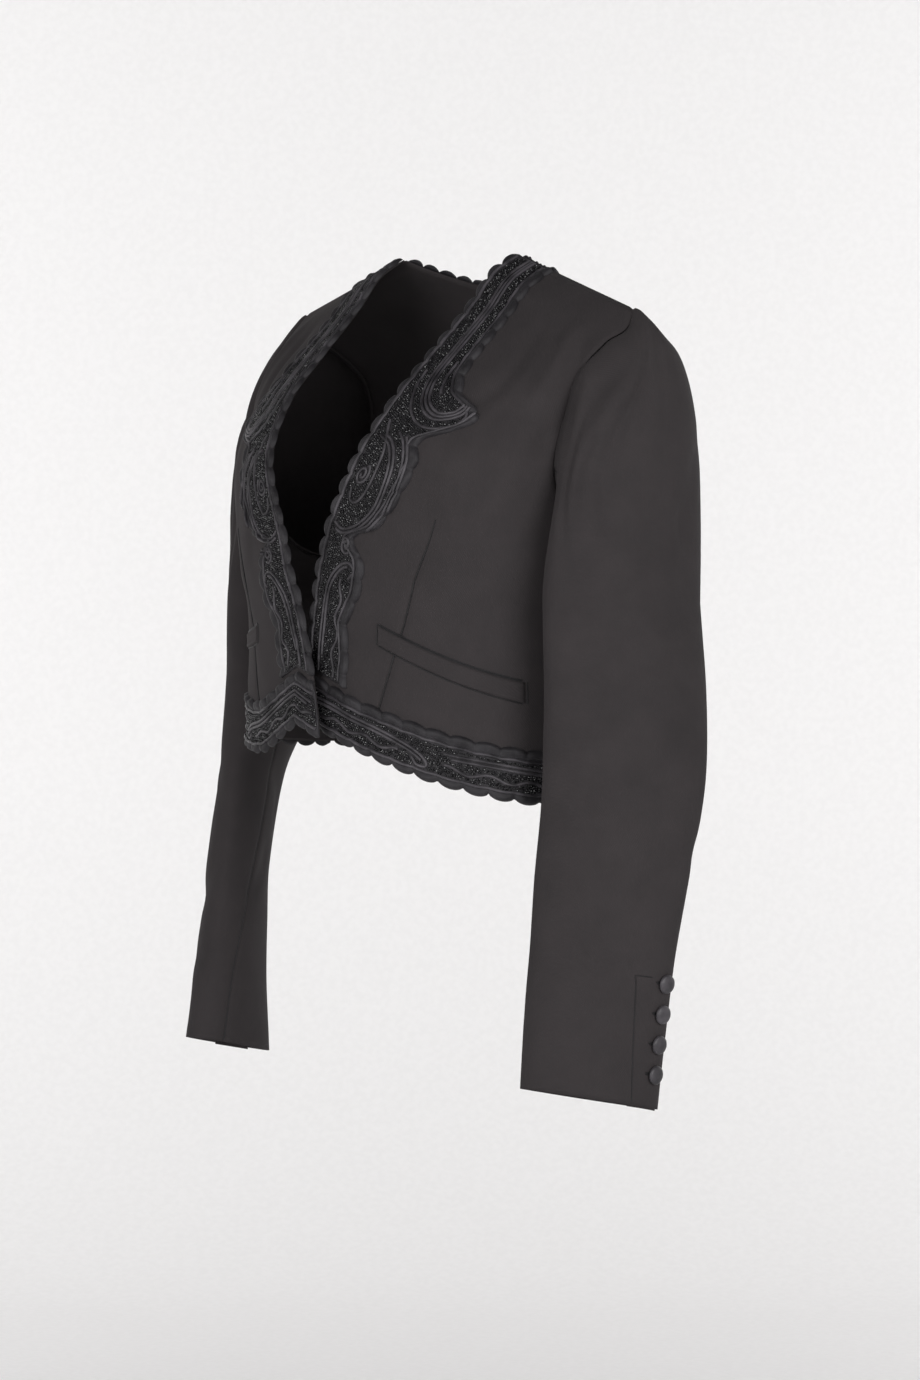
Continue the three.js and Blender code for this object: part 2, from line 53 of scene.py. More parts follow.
# Folds fade where a ring of the torso is flatter than this
FLAT_RING = 60
UNDERARM = 0.58
TIP_START = 0.985
SHOULDER_TIP_X = 223.3
CLOSURE = 0.38
SEAM_GAP = 0.16
FLAP_REACH = 110
BACK_NECK_HALF = 80
BACK_NECK_DROP = 0.045
BACK_NECK_BORDER = 0.065
HEM_STEP = 275
SLEEVE_START = 0.7
RIGHT_SHOULDER_RISE = 30
RIGHT_HEM_RISE = 47
RIGHT_SLEEVE_RISE = 8
BICEP_Z = -290
CUFF_Z = -682
BUTTON_PITCH = 23.5
LOWEST_BUTTON_Z = -656
BUTTON_ANGLE_LOW = -59
BUTTON_ANGLE_HIGH = -66
BUTTON_COUNT = 4
WELT_HEIGHT = 12

# Torso rings from the hem (v = 0) up to the shoulder seam (v = 1)
TORSO_COLUMNS = (
    "v", "z_front", "z_side", "z_back", "width", "front", "back", "middle", "edge_left", "edge_right",
)
TORSO_ROWS = (
    (0.00, -384, -452, -446, 187, 162, 118, 10, -1, -33),
    (0.16, -340, -407, -402, 186, 163, 114, 10, 2, -22),
    (0.32, -292, -348, -348, 187, 162, 112, 10, 8, -1),
    (0.45, -248, -295, -298, 189, 164, 114, 10, 20, 18),
    (0.58, -200, -245, -246, 200, 165, 116, 9, 42, 40),
    (0.68, -159, -181, -196, 217, 157, 115, 8, 64, 62),
    (0.78, -111, -140, -142, 223, 128, 108, 7, 76, 74),
    (0.86, -73, -110, -92, 237, 93, 92, 7, 78, 77),
    (0.93, -20, -88, -37, 247, 51, 62, 7, 79, 78),
    (0.97, 15, -74, 1, 241, 28, 38, 7, 79, 79),
    (1.00, 33, -56, 33, 233, 0.4, 0.4, 7, 80, 80),
)

# Half-width of the armhole's opening, from the underarm (rise 0) to the shoulder tip (rise 1)
ARMHOLE_COLUMNS = ("rise", "front", "back")
ARMHOLE_ROWS = (
    (0.00, 0.2, 0.2), (0.22, 40, 32), (0.35, 58, 46), (0.49, 68, 54), (0.69, 59, 58),
    (0.82, 50, 54), (0.91, 29, 34), (0.96, 13, 16), (1.00, 0.2, 0.2),
)

# Sleeve rings from the cuff up to the bicep
SLEEVE_COLUMNS = ("z", "x", "y", "out", "fore", "turn", "fall")
SLEEVE_ROWS = (
    (-682, 250, -61, 31, 55, 29, 0.19),
    (-620, 252, -56, 28, 56, 37, 0.18),
    (-570, 254, -51, 27, 57, 43, 0.15),
    (-520, 256, -45, 26, 60, 45, 0.12),
    (-440, 256, -31, 27, 64, 42, 0.06),
    (-370, 243, -17, 34, 66, 28, 0.03),
    (-290, 231, -11, 36, 68, 14, 0.00),
)

# Angles of a sleeve's two seams, from the armhole (down = 0) past the bicep (1) to the cuff (2)
SEAM_COLUMNS = ("down", "front", "back")
SEAM_ROWS = ((0.00, 126, -104), (1.00, 148, -100), (1.45, 152, -96), (1.75, 130, -90), (2.00, 126, -84))

# Folds of the solids, then the finer creases that only show here. On a torso panel a is x and
# b is v along the crease's line; on a sleeve a is the angle and b is z. A trough is negative.
FOLD_COLUMNS = ("a0", "b0", "a1", "b1", "width", "depth")
FRONT_FOLDS = (
    (205, 0.84, 158, 0.54, 15, -3.5), (172, 0.66, 128, 0.48, 18, 2.0), (60, 0.08, 90, 0.30, 16, 1.8),
)
FRONT_CREASES = (
    (196, 0.80, 168, 0.60, 6, 1.2), (150, 0.80, 130, 0.66, 9, -1.0), (120, 0.86, 108, 0.72, 10, 0.8),
    (168, 0.52, 150, 0.38, 10, -0.8), (120, 0.46, 60, 0.34, 9, 0.7), (150, 0.26, 120, 0.17, 12, 0.7),
    (185, 0.44, 160, 0.24, 9, 0.9), (95, 0.60, 76, 0.45, 11, -0.7),
    (190, 0.95, 192, 0.79, 8, 3.4), (160, 0.92, 158, 0.79, 10, -3.8), (206, 0.91, 205, 0.72, 8, -5.2),
    (205, 0.72, 190, 0.58, 9, -4.6), (182, 0.76, 168, 0.60, 10, 3.0), (150, 0.62, 120, 0.44, 14, 1.6),
    (196, 0.42, 180, 0.20, 12, -2.2),
)
DART_V = (0.10, 0.20, 0.30, 0.36, 0.46, 0.556, 0.594)
DART_X = (80.0, 89.5, 99.0, 106.2, 117.5, 132.3, 137.9)
BACK_FOLDS = ((150, 0.80, 120, 0.45, 16, -3.0), (60, 0.20, 40, 0.60, 18, 2.5))
BACK_CREASES = (
    (170, 0.72, 140, 0.52, 8, 1.4), (110, 0.35, 60, 0.28, 12, -1.2), (30, 0.70, 70, 0.62, 14, 1.0),
    (165, 0.30, 130, 0.12, 10, -1.2), (20, 0.10, 60, 0.16, 14, 1.0),
)
SLEEVE_FOLDS = (
    (60, -120, 66, -250, 9, -3.5), (34, -110, 40, -225, 10, 2.5), (-20, -420, 60, -455, 14, -2.5),
    (70, -520, 10, -560, 14, -2.5), (-90, -480, -30, -520, 14, -2.2),
)
SLEEVE_CREASES = (
    (48, -150, 56, -235, 5, -1.2), (-10, -120, -28, -210, 12, 1.2), (-62, -160, -40, -250, 10, -1.4),
    (84, -300, 60, -380, 12, 0.9), (14, -330, 30, -420, 16, -0.8), (-50, -380, -16, -440, 12, 1.0),
    (50, -590, 84, -618, 8, -1.2), (30, -604, 58, -640, 10, 0.9), (-20, -560, 30, -590, 12, 0.8),
    (130, -300, 110, -400, 10, 1.2), (-120, -300, -100, -420, 12, -1.2), (160, -430, 190, -470, 10, -1.6),
    (170, -500, 140, -540, 10, -1.4), (22, -118, 27, -240, 7, -3.6), (38, -112, 33, -200, 8, 2.8),
    (18, -566, -8, -575, 6, -2.6), (-33, -212, -43, -250, 7, -2.0), (-8, -130, -16, -330, 14, 1.8),
    (30, -440, 4, -470, 9, -2.2), (-60, -500, -20, -530, 9, -2.0), (10, -300, 40, -350, 12, -1.6),
)

# Border of the front edge: how far it reaches onto the cloth at each height of the edge
FRONT_BORDER_COLUMNS = ("v", "reach")
FRONT_BORDER_ROWS = (
    (0.155, 48), (0.24, 47), (0.32, 42), (0.40, 50), (0.475, 46), (0.52, 30), (0.56, 50),
    (0.66, 61), (0.705, 54), (0.722, 71), (0.738, 83), (0.756, 85.5), (0.773, 78), (0.795, 61),
    (0.84, 50), (1.00, 44),
)
FRONT_BORDER_FOOT = 0.157
FRONT_BORDER_TOP = 0.998
HEM_BORDER_HEIGHT = 39
SCALLOP_REACH = 4.5


def table_reader(columns, rows):
    """Smooth value of each column between a table's rows, straight past its ends."""
    data = np.array(rows, float)
    at = data[:, 0]
    before = np.maximum(np.arange(len(at)) - 1, 0)
    after = np.minimum(np.arange(len(at)) + 1, len(at) - 1)
    slopes = (data[after] - data[before]) / (at[after] - at[before])[:, None]

    def read(x):
        x = np.asarray(x, float)
        i = np.clip(np.searchsorted(at, x, side="right") - 1, 0, len(at) - 2)
        span = at[i + 1] - at[i]
        t = (x - at[i]) / span
        s = np.clip(t, 0, 1)
        past = np.where(t < 0, t, np.where(t > 1, t - 1, 0.0)) * span
        result = {}
        for c, name in enumerate(columns):
            a, b = data[i, c], data[i + 1, c]
            ma, mb = slopes[i, c], slopes[i + 1, c]
            value = a * (2 * s**3 - 3 * s**2 + 1) + ma * span * (s**3 - 2 * s**2 + s)
            value = value + b * (3 * s**2 - 2 * s**3) + mb * span * (s**3 - s**2)
            result[name] = value + past * np.where(t < 0, ma, mb)
        return result

    return read


torso_at = table_reader(TORSO_COLUMNS, TORSO_ROWS)
armhole_at = table_reader(ARMHOLE_COLUMNS, ARMHOLE_ROWS)
sleeve_at = table_reader(SLEEVE_COLUMNS, SLEEVE_ROWS)
front_border_at = table_reader(FRONT_BORDER_COLUMNS, FRONT_BORDER_ROWS)
seam_at = table_reader(SEAM_COLUMNS, SEAM_ROWS)


def lerp(a, b, t):
    return a + (b - a) * t


def side_name(side):
    """A side is 1 for the wearer's left and -1 for the right."""
    return "left" if side > 0 else "right"


def smooth(t):
    s = np.clip(t, 0, 1)
    return s * s * (3 - 2 * s)


def fold_height(folds, a, b, scale_a, scale_b):
    """Height of a list's folds; the two scales turn a and b into millimetres."""
    height = np.zeros(np.broadcast(a, b).shape)
    for row in folds:
        fold = dict(zip(FOLD_COLUMNS, row))
        along_a = (fold["a1"] - fold["a0"]) * scale_a
        along_b = (fold["b1"] - fold["b0"]) * scale_b
        pa = (a - fold["a0"]) * scale_a
        pb = (b - fold["b0"]) * scale_b
        length = math.hypot(along_a, along_b)
        t = (pa * along_a + pb * along_b) / (length * length)
        off = (pa * along_b - pb * along_a) / length
        bend = off + 0.12 * length * np.sin(math.pi * np.clip(t, -0.3, 1.3))
        ends = smooth((t + 0.25) / 0.45) * smooth((1.25 - t) / 0.45)
        height = height + fold["depth"] * ends * np.exp(-((bend / fold["width"]) ** 2))
    return height


def share_at(angle):
    return np.abs(np.sin(angle)) ** (2 / RING_POWER)


def angle_at(share):
    return np.arcsin(np.clip(share, 0, 1) ** (RING_POWER / 2))


def flap_lift(v, x, edge):
    """How far the overlapping right front stands off the left one."""
    low = lerp(15, 8, np.clip(v / CLOSURE, 0, 1)) * smooth((0.56 - v) / 0.16)
    return low * smooth((edge + FLAP_REACH - x) / FLAP_REACH)


def right_rise(share, v):
    """The right side hangs higher than the left, at the shoulder and at the side of the hem."""
    shoulder = RIGHT_SHOULDER_RISE * share * smooth((v - 0.5) / 0.5)
    return shoulder + RIGHT_HEM_RISE * smooth((share - 0.3) / 0.7) * smooth((0.6 - v) / 0.44)


def torso_point(side, angle, v):
    """Points of the torso's form, an array with the coordinates last."""
    angle, v = np.broadcast_arrays(np.asarray(angle, float), np.asarray(v, float))
    ring = torso_at(v)
    share = share_at(angle)
    x = np.sign(np.sin(angle)) * share * ring["width"]
    deep = np.abs(np.cos(angle)) ** (2 / RING_POWER)
    rise = right_rise(share, v) if side < 0 else 0.0
    edge = ring["edge_left"] if side > 0 else ring["edge_right"]
    fold = fold_height(FRONT_FOLDS, x, v, 1, 380) * smooth(ring["front"] / FLAT_RING)
    lift = flap_lift(v, x, edge) if side < 0 else 0.0
    front_y = ring["middle"] - ring["front"] * deep - fold * deep - lift
    front_z = ring["z_front"] + (ring["z_side"] - ring["z_front"]) * share + rise
    fold = fold_height(BACK_FOLDS, np.abs(x), v, 1, 380) * smooth(ring["back"] / FLAT_RING)
    crown = lerp(1 - share, 1 - share * share, smooth((1 - v) / 0.12))
    back_y = ring["middle"] + ring["back"] * deep + fold * deep
    back_z = ring["z_side"] + (ring["z_back"] - ring["z_side"]) * crown + rise
    is_front = np.cos(angle) >= 0
    return np.stack([side * x, np.where(is_front, front_y, back_y), np.where(is_front, front_z, back_z)], -1)


def torso_normal(side, angle, v):
    angle, v = np.broadcast_arrays(np.asarray(angle, float), np.asarray(v, float))
    high = np.minimum(v + 0.004, 1)
    around = torso_point(side, angle + 0.01, v) - torso_point(side, angle - 0.01, v)
    upwards = torso_point(side, angle, high) - torso_point(side, angle, high - 0.008)
    normal = np.cross(around, upwards) * side
    normal[..., 1] = np.where(v >= 0.999, 0, normal[..., 1])
    return normal / np.linalg.norm(normal, axis=-1, keepdims=True)


def front_angle(x, v):
    return np.sign(x) * angle_at(np.abs(x) / torso_at(v)["width"])


def back_angle(x, v):
    return math.pi - angle_at(np.abs(x) / torso_at(v)["width"])


def armhole_x(v, face):
    """The x at which a ring reaches the armhole, or the side seam below it."""
    # The last rings are too flat for the formula, so there the outline runs on to the shoulder tip
    to_tip = smooth((v - TIP_START) / (1 - TIP_START))
    v = np.minimum(v, TIP_START)
    ring = torso_at(v)
    rise = np.sqrt(np.clip((v - UNDERARM) / (1 - UNDERARM), 0, 1))
    half = np.maximum(SEAM_GAP / 2, armhole_at(rise)[face])
    share = np.clip(half / np.maximum(ring[face], 0.5), 0, 0.999)
    return lerp(ring["width"] * (1 - share**RING_POWER) ** (1 / RING_POWER), SHOULDER_TIP_X, to_tip)


def sleeve_ring_point(side, angle, z):
    """Points of a sleeve below the bicep; angle 0 is the outside and 90 the front."""
    ring = sleeve_at(z)
    turned = (np.asarray(angle) + 180) % 360 - 180
    out = ring["out"] * np.cos(np.radians(angle))
    fore = ring["fore"] * np.sin(np.radians(angle))
    turn = np.radians(ring["turn"])
    dx = out * np.cos(turn) - fore * np.sin(turn)
    dy = -fore * np.cos(turn) - out * np.sin(turn)
    swell = 1 + fold_height(SLEEVE_FOLDS, turned, z, 0.9, 1) / np.hypot(dx, dy)
    level = z + (RIGHT_SLEEVE_RISE if side < 0 else 0)
    return np.stack([side * (ring["x"] + dx * swell), ring["y"] + dy * swell, level - ring["fall"] * dy], -1)


def armhole_point(side, angle, drawn_in=SLEEVE_START, outwards=SLEEVE_START):
    """The armhole's outline; angle 0 is the shoulder tip, 90 the front, 180 the underarm."""
    angle = np.asarray(angle, float)
    v = UNDERARM + (1 - UNDERARM) * (1 + np.cos(np.radians(angle))) / 2
    front = torso_point(side, front_angle(armhole_x(v, "front"), v), v)
    back = torso_point(side, back_angle(armhole_x(v, "back"), v), v)
    point = np.where((angle <= 180)[..., None], front, back)
    inwards = np.stack([np.zeros_like(angle), 8 - point[..., 1], -150 - point[..., 2]], -1)
    inwards /= np.linalg.norm(inwards, axis=-1, keepdims=True)
    point = point + inwards * drawn_in
    point[..., 0] += side * outwards
    return point


def sleeve_point(side, angle, down):
    """Points of a sleeve: down is 0 at the armhole, 1 at the bicep and 2 at the cuff."""
    angle, down = np.broadcast_arrays(np.asarray(angle, float) % 360, np.asarray(down, float))
    lower = sleeve_ring_point(side, angle, lerp(BICEP_Z, CUFF_Z, np.maximum(down - 1, 0)))
    start = armhole_point(side, angle)
    end = sleeve_ring_point(side, angle, np.full(angle.shape, float(BICEP_Z)))
    top = (1 + np.cos(np.radians(angle))) / 2
    fore = np.sin(np.radians(angle))
    fall = start[..., 2] - end[..., 2]
    leave = np.stack([side * lerp(4, 150, top), -fore * 26, -lerp(40, 16, top)], -1)
    arrive = np.stack([0 * fore, -fore * 2, -fall * lerp(1, 1.15, top)], -1)
    t = np.clip(down, 0, 1)[..., None]
    point = start * (2 * t**3 - 3 * t**2 + 1) + leave * (t**3 - 2 * t**2 + t)
    point = point + end * (3 * t**2 - 2 * t**3) + arrive * (t**3 - t**2)
    turned = (angle + 180) % 360 - 180
    fold = fold_height(SLEEVE_FOLDS, turned, point[..., 2], 0.9, 1) * smooth(t[..., 0] / 0.25)
    point[..., 0] += side * fold * np.cos(np.radians(angle))
    point[..., 1] -= fold * fore
    return np.where((down >= 1)[..., None], lower, point)


def sleeve_normal(side, angle, down):
    angle, down = np.broadcast_arrays(np.asarray(angle, float), np.asarray(down, float))
    low = np.maximum(0, down - 0.01)
    around = sleeve_point(side, angle + 1.5, down) - sleeve_point(side, angle - 1.5, down)
    along = sleeve_point(side, angle, low + 0.02) - sleeve_point(side, angle, low)
    normal = np.cross(around, along) * side
    return normal / np.linalg.norm(normal, axis=-1, keepdims=True)


def edge_distances(points):
    """Distance of each grid point from the grid's first and last column and row, in mm."""
    across = np.linalg.norm(np.diff(points, axis=1), axis=-1)
    across = np.concatenate([np.zeros((len(points), 1)), np.cumsum(across, 1)], 1)
    along = np.linalg.norm(np.diff(points, axis=0), axis=-1)
    along = np.concatenate([np.zeros((1, points.shape[1])), np.cumsum(along, 0)], 0)
    return across, across[:, -1:] - across, along, along[-1:, :] - along


def ripple(a, b, seed):
    """Slow unevenness of hanging cloth, in mm, from a few waves of mixed directions."""
    rng = np.random.default_rng(seed)
    total = np.zeros(np.broadcast(a, b).shape)
    for _ in range(7):
        length = rng.uniform(45, 120)
        turn = rng.uniform(0, math.pi)
        phase = rng.uniform(0, 2 * math.pi)
        total = total + np.sin(2 * math.pi * (a * math.cos(turn) + b * math.sin(turn)) / length + phase)
    return total * 0.12


def mesh_object(name, vertices, faces, uvs=None, material=None, smooth_faces=True):
    """A mesh piece from millimetre points; uvs are one pair for each vertex, in metres."""
    mesh = bpy.data.meshes.new(name)
    vertices = np.asarray(vertices, float) * MM
    mesh.from_pydata(vertices.tolist(), [], np.asarray(faces).tolist())
    if smooth_faces:
        mesh.shade_smooth()
    if uvs is not None:
        layer = mesh.uv_layers.new(name="cloth")
        loops = np.empty(len(mesh.loops), int)
        mesh.loops.foreach_get("vertex_index", loops)
        layer.data.foreach_set("uv", np.asarray(uvs, float)[loops].ravel())
    if material is not None:
        mesh.materials.append(material)
    obj = bpy.data.objects.new(name, mesh)
    bpy.context.scene.collection.objects.link(obj)
    return obj


def wall_faces(rows, cols):
    """Faces of a closed wall: outer grid, inner grid and the rim between them."""
    grid = np.arange(rows * cols).reshape(rows, cols)
    inner = grid + rows * cols
    outer_quads = np.stack([grid[:-1, :-1], grid[:-1, 1:], grid[1:, 1:], grid[1:, :-1]], -1)
    inner_quads = np.stack([inner[:-1, :-1], inner[1:, :-1], inner[1:, 1:], inner[:-1, 1:]], -1)
    rim = []
    for line, far, flip in ((grid[0], inner[0], False), (grid[-1], inner[-1], True),
                            (grid[:, 0], inner[:, 0], True), (grid[:, -1], inner[:, -1], False)):
        quads = np.stack([line[:-1], far[:-1], far[1:], line[1:]], -1)
        rim.append(quads[:, ::-1] if flip else quads)
    return np.concatenate([outer_quads.reshape(-1, 4), inner_quads.reshape(-1, 4), *rim])


def wall_object(name, outer, inner, uvs, material):
    """A closed wall piece between two grids, its faces turned outwards."""
    rows, cols = outer.shape[:2]
    faces = wall_faces(rows, cols)
    points = np.concatenate([outer.reshape(-1, 3), inner.reshape(-1, 3)])
    a, b, c, d = (points[faces[:, k]] for k in range(4))
    volume = (a * np.cross(b, c)).sum() + (a * np.cross(c, d)).sum()
    if volume < 0:
        faces = faces[:, ::-1]
    both = np.concatenate([uvs.reshape(-1, 2), uvs.reshape(-1, 2)])
    return mesh_object(name, points, faces, both * MM, material)


def grid_area(points):
    """Area of a grid of millimetre points, in square metres."""
    u = np.diff(points[:-1], axis=1)
    v = np.diff(points[:, :-1], axis=0)
    return float(np.linalg.norm(np.cross(u, v), axis=-1).sum()) * MM * MM


def hex_color(text):
    """Linear colour from an sRGB hex value."""
    channels = [int(text[i:i + 2], 16) / 255 for i in (1, 3, 5)]
    return tuple(c / 12.92 if c <= 0.04045 else ((c + 0.055) / 1.055) ** 2.4 for c in channels) + (1.0,)


def add_node(tree, kind, settings=None, inputs=None):
    """Adds a node; settings are its properties, and inputs its values or the sockets linked to it."""
    node = tree.nodes.new(kind)
    for key, value in (settings or {}).items():
        setattr(node, key, value)
    for key, value in (inputs or {}).items():
        if isinstance(value, bpy.types.NodeSocket):
            tree.links.new(value, node.inputs[key])
        else:
            node.inputs[key].default_value = value
    return node


def new_material(name):
    material = bpy.data.materials.new(name)
    material.use_nodes = True
    material.node_tree.nodes.clear()
    return material, material.node_tree


def object_coords(tree):
    return add_node(tree, "ShaderNodeTexCoord").outputs["Object"]


def finish_material(tree, shader):
    add_node(tree, "ShaderNodeOutputMaterial", None, {"Surface": shader.outputs["BSDF"]})


def two_tone(tree, factor, dark, light, low=0.35, high=0.65):
    """A colour between two hex values, led by a texture's factor."""
    ramp = add_node(tree, "ShaderNodeValToRGB", None, {"Fac": factor})
    ramp.color_ramp.elements[0].position = low
    ramp.color_ramp.elements[0].color = hex_color(dark)
    ramp.color_ramp.elements[1].position = high
    ramp.color_ramp.elements[1].color = hex_color(light)
    return ramp.outputs["Color"]


def wool_material(name, dark, light):
    """Dense milled wool: its nap hides most of the twill, so it looks soft, matt and slightly dusty."""
    material, tree = new_material(name)
    uv = add_node(tree, "ShaderNodeUVMap", {"uv_map": "cloth"}).outputs["UV"]
    place = object_coords(tree)
    # 1.1 mm twill lines: drawn coarser than the real 0.5 mm so that they show
    twill = add_node(tree, "ShaderNodeTexWave", {"bands_direction": "DIAGONAL"}, {
        "Vector": uv, "Scale": 285.0, "Distortion": 2.2, "Detail": 2.0, "Detail Scale": 1.4})
    nap = add_node(tree, "ShaderNodeTexNoise", None, {
        "Vector": place, "Scale": 950.0, "Detail": 3.0, "Roughness": 0.7})
    cloud = add_node(tree, "ShaderNodeTexNoise", None, {
        "Vector": place, "Scale": 26.0, "Detail": 4.0, "Roughness": 0.6})
    mixed = add_node(tree, "ShaderNodeMath", {"operation": "MULTIPLY_ADD"}, {
        0: nap.outputs["Fac"], 1: 0.55, 2: cloud.outputs["Fac"]})
    shifted = add_node(tree, "ShaderNodeMath", {"operation": "SUBTRACT"}, {
        0: mixed.outputs["Value"], 1: 0.275})
    color = two_tone(tree, shifted.outputs["Value"], dark, light, 0.1, 0.9)
    height = add_node(tree, "ShaderNodeMath", {"operation": "MULTIPLY_ADD"}, {
        0: twill.outputs["Fac"], 1: 0.35, 2: nap.outputs["Fac"]})
    bump = add_node(tree, "ShaderNodeBump", None, {
        "Strength": 0.35, "Distance": 0.0004, "Height": height.outputs["Value"]})
    shader = add_node(tree, "ShaderNodeBsdfPrincipled", None, {
        "Base Color": color, "Roughness": 0.9, "Specular IOR Level": 0.22, "Sheen Weight": 0.1,
        "Sheen Roughness": 0.45, "Normal": bump.outputs["Normal"]})
    shader.inputs["Sheen Tint"].default_value = hex_color("#8C8688")
    finish_material(tree, shader)
    return material


def satin_material(name, dark, light, roughness, grain):
    """Rayon satin, woven tight or twisted: long floats throw back a soft streak of light."""
    material, tree = new_material(name)
    place = object_coords(tree)
    floats = add_node(tree, "ShaderNodeTexNoise", None, {"Vector": place, "Scale": grain, "Detail": 2.0})
    tone = add_node(tree, "ShaderNodeTexNoise", None, {"Vector": place, "Scale": 60.0, "Detail": 3.0})
    bump = add_node(tree, "ShaderNodeBump", None, {
        "Strength": 0.3, "Distance": 0.0003, "Height": floats.outputs["Fac"]})
    shader = add_node(tree, "ShaderNodeBsdfPrincipled", None, {
        "Base Color": two_tone(tree, tone.outputs["Fac"], dark, light), "Roughness": roughness,
        "Specular IOR Level": 0.3, "Sheen Weight": 0.04, "Sheen Roughness": 0.4,
        "Normal": bump.outputs["Normal"]})
    finish_material(tree, shader)
    return material


def bead_material(name, color):
    """Cut jet-black glass: dark faces with small hard highlights."""
    material, tree = new_material(name)
    tone = add_node(tree, "ShaderNodeTexNoise", None, {"Vector": object_coords(tree), "Scale": 400.0})
    shader = add_node(tree, "ShaderNodeBsdfPrincipled", None, {
        "Base Color": two_tone(tree, tone.outputs["Fac"], color, "#1C1B1E"), "Roughness": 0.14, "IOR": 1.55})
    finish_material(tree, shader)
    return material


def material_for(key):
    """Each finish of the jacket, made when a piece first needs it."""
    colors = bpy.context.scene.jacket_colors
    makers = {
        "black_milled_wool": lambda n: wool_material(
            n, hex_text(colors.cloth_dark), hex_text(colors.cloth_light)),
        "black_cotton_sateen_ground": lambda n: satin_material(
            n, hex_text(colors.ground), "#2D2B2E", 0.62, 1400.0),
        # The cord is black rayon; its lighter tone paints the highlight that its raised satin catches
        "black_rayon_cord": lambda n: satin_material(n, "#242225", hex_text(colors.cord), 0.42, 1800.0),
        "jet_glass_bead": lambda n: bead_material(n, hex_text(colors.bead)),
        "black_satin_button_cover": lambda n: satin_material(n, "#2B292C", "#454246", 0.36, 1500.0),
        # The silk is darker than its own black: it paints the shade in the sleeve seams, the dart, the welt's
        # mouth and the vent's edge, and the buttonholes share it
        "black_buttonhole_silk": lambda n: satin_material(n, "#111012", "#1D1C1E", 0.55, 2200.0),
    }
    found = bpy.data.materials.get(key)
    return found or makers[key](key)


def hex_text(color):
    """The hex value of a colour property, which Blender keeps as linear numbers."""
    channels = [12.92 * c if c <= 0.0031308 else 1.055 * c ** (1 / 2.4) - 0.055 for c in color[:3]]
    return "#" + "".join(f"{round(max(0, min(1, c)) * 255):02X}" for c in channels)


def torso_extra(angle, x, v):
    """Finer creases of the torso's cloth, out along its normal in mm."""
    front = fold_height(FRONT_CREASES, x, v, 1, 380) + ripple(x, v * 380, 3)
    back = fold_height(BACK_CREASES, np.abs(x), v, 1, 380) + ripple(x, v * 380, 4)
    depth = torso_at(v)
    still = smooth((1 - v) / 0.04)
    front = front * smooth(depth["front"] / FLAT_RING)
    back = back * smooth(depth["back"] / FLAT_RING)
    return np.where(np.cos(angle) >= 0, front, back) * still


def torso_cloth(side, angle, v):
    """Points and normals of the torso's finished cloth."""
    angle, v = np.broadcast_arrays(np.asarray(angle, float), np.asarray(v, float))
    normal = torso_normal(side, angle, v)
    x = np.sign(np.sin(angle)) * share_at(angle) * torso_at(v)["width"]
    return torso_point(side, angle, v) + normal * torso_extra(angle, x, v)[..., None], normal


def sleeve_cloth(side, angle, down):
    """Points and normals of a sleeve's finished cloth."""
    angle, down = np.broadcast_arrays(np.asarray(angle, float), np.asarray(down, float))
    point = sleeve_point(side, angle, down)
    normal = sleeve_normal(side, angle, down)
    turned = (angle + 180) % 360 - 180
    wrapped = (angle % 360)
    extra = fold_height(SLEEVE_CREASES, turned, point[..., 2], 0.9, 1)
    far_side = fold_height(SLEEVE_CREASES, wrapped, point[..., 2], 0.9, 1)
    extra = np.where(np.abs(turned) > 120, far_side, extra)
    wave = ripple(70 * np.cos(np.radians(angle)), point[..., 2], 5 if side > 0 else 6)
    extra = (extra + wave) * smooth((down - 0.02) / 0.15) * smooth((2.0 - down) / 0.08)
    return point + normal * extra[..., None], normal


def seam_roll(distance, depth=0.9, width=2.4):
    """How far cloth rolls in towards a seam that is this far away."""
    return -depth * np.exp(-((distance / width) ** 2))


def note_flat(piece, width, length, area, held):
    """Keeps a sheet's flat cut on its piece in metres; width and length come in millimetres."""
    width, length = float(width) * MM, float(length) * MM
    piece["flat_width"] = width
    piece["flat_length"] = length
    piece["flat_area"] = min(area, width * length)
    piece["held"] = held


def cloth_wall(name, outer, normals, thickness, turned_edges, held):
    """A cloth panel between its outer points and its inner ones, declared with its flat cut."""
    left, right, first, last = edge_distances(outer)
    inner = outer - normals * thickness
    for distance, kind in ((left, "left"), (right, "right"), (first, "first"), (last, "last")):
        if kind in turned_edges:
            outer = outer + normals * seam_roll(distance)[..., None]
    uvs = np.stack([left - left[:, -1:] / 2, first], -1)
    piece = wall_object(name, outer, inner, uvs, material_for("black_milled_wool"))
    note_flat(piece, left[:, -1].max(), first[-1].max(), grid_area(outer), held)
    return piece


def panel_rings(lower, upper):
    low = UNDERARM * np.arange(lower) / lower
    high = UNDERARM + (1 - UNDERARM) * (np.arange(upper + 1) / upper) ** 1.2
    return np.concatenate([low, high])


def front_wall(side):
    v = panel_rings(74, 62)[:, None]
    t = np.linspace(0, 1, 116)[None, :]
    ring = torso_at(v)
    edge = ring["edge_" + side_name(side)]
    x = lerp(edge, armhole_x(v, "front"), lerp(t, np.sin(t * math.pi / 2), 0.55))
    outer, normals = torso_cloth(side, front_angle(x, v), np.broadcast_to(v, x.shape))
    outer[-1, :, 1] -= SEAM_GAP / 2
    # The dart runs from the border's foot up through the welt to the chest
    dart = smooth((DART_V[-1] - v) / 0.10) * -1.0 * np.exp(-(((x - np.interp(v, DART_V, DART_X)) / 3.0) ** 2))
    outer = outer + normals * dart[..., None]
    name = "front_" + side_name(side)
    piece = cloth_wall(name + "_cloth", outer, normals, CLOTH_THICKNESS, ("right", "last"), "draped")
    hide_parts(name)
    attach(piece, "root")
    return piece


def back_top(x):
    share = np.clip(np.abs(x) / BACK_NECK_HALF, 0, 1)
    return 1 - BACK_NECK_DROP * (1 - share * share)


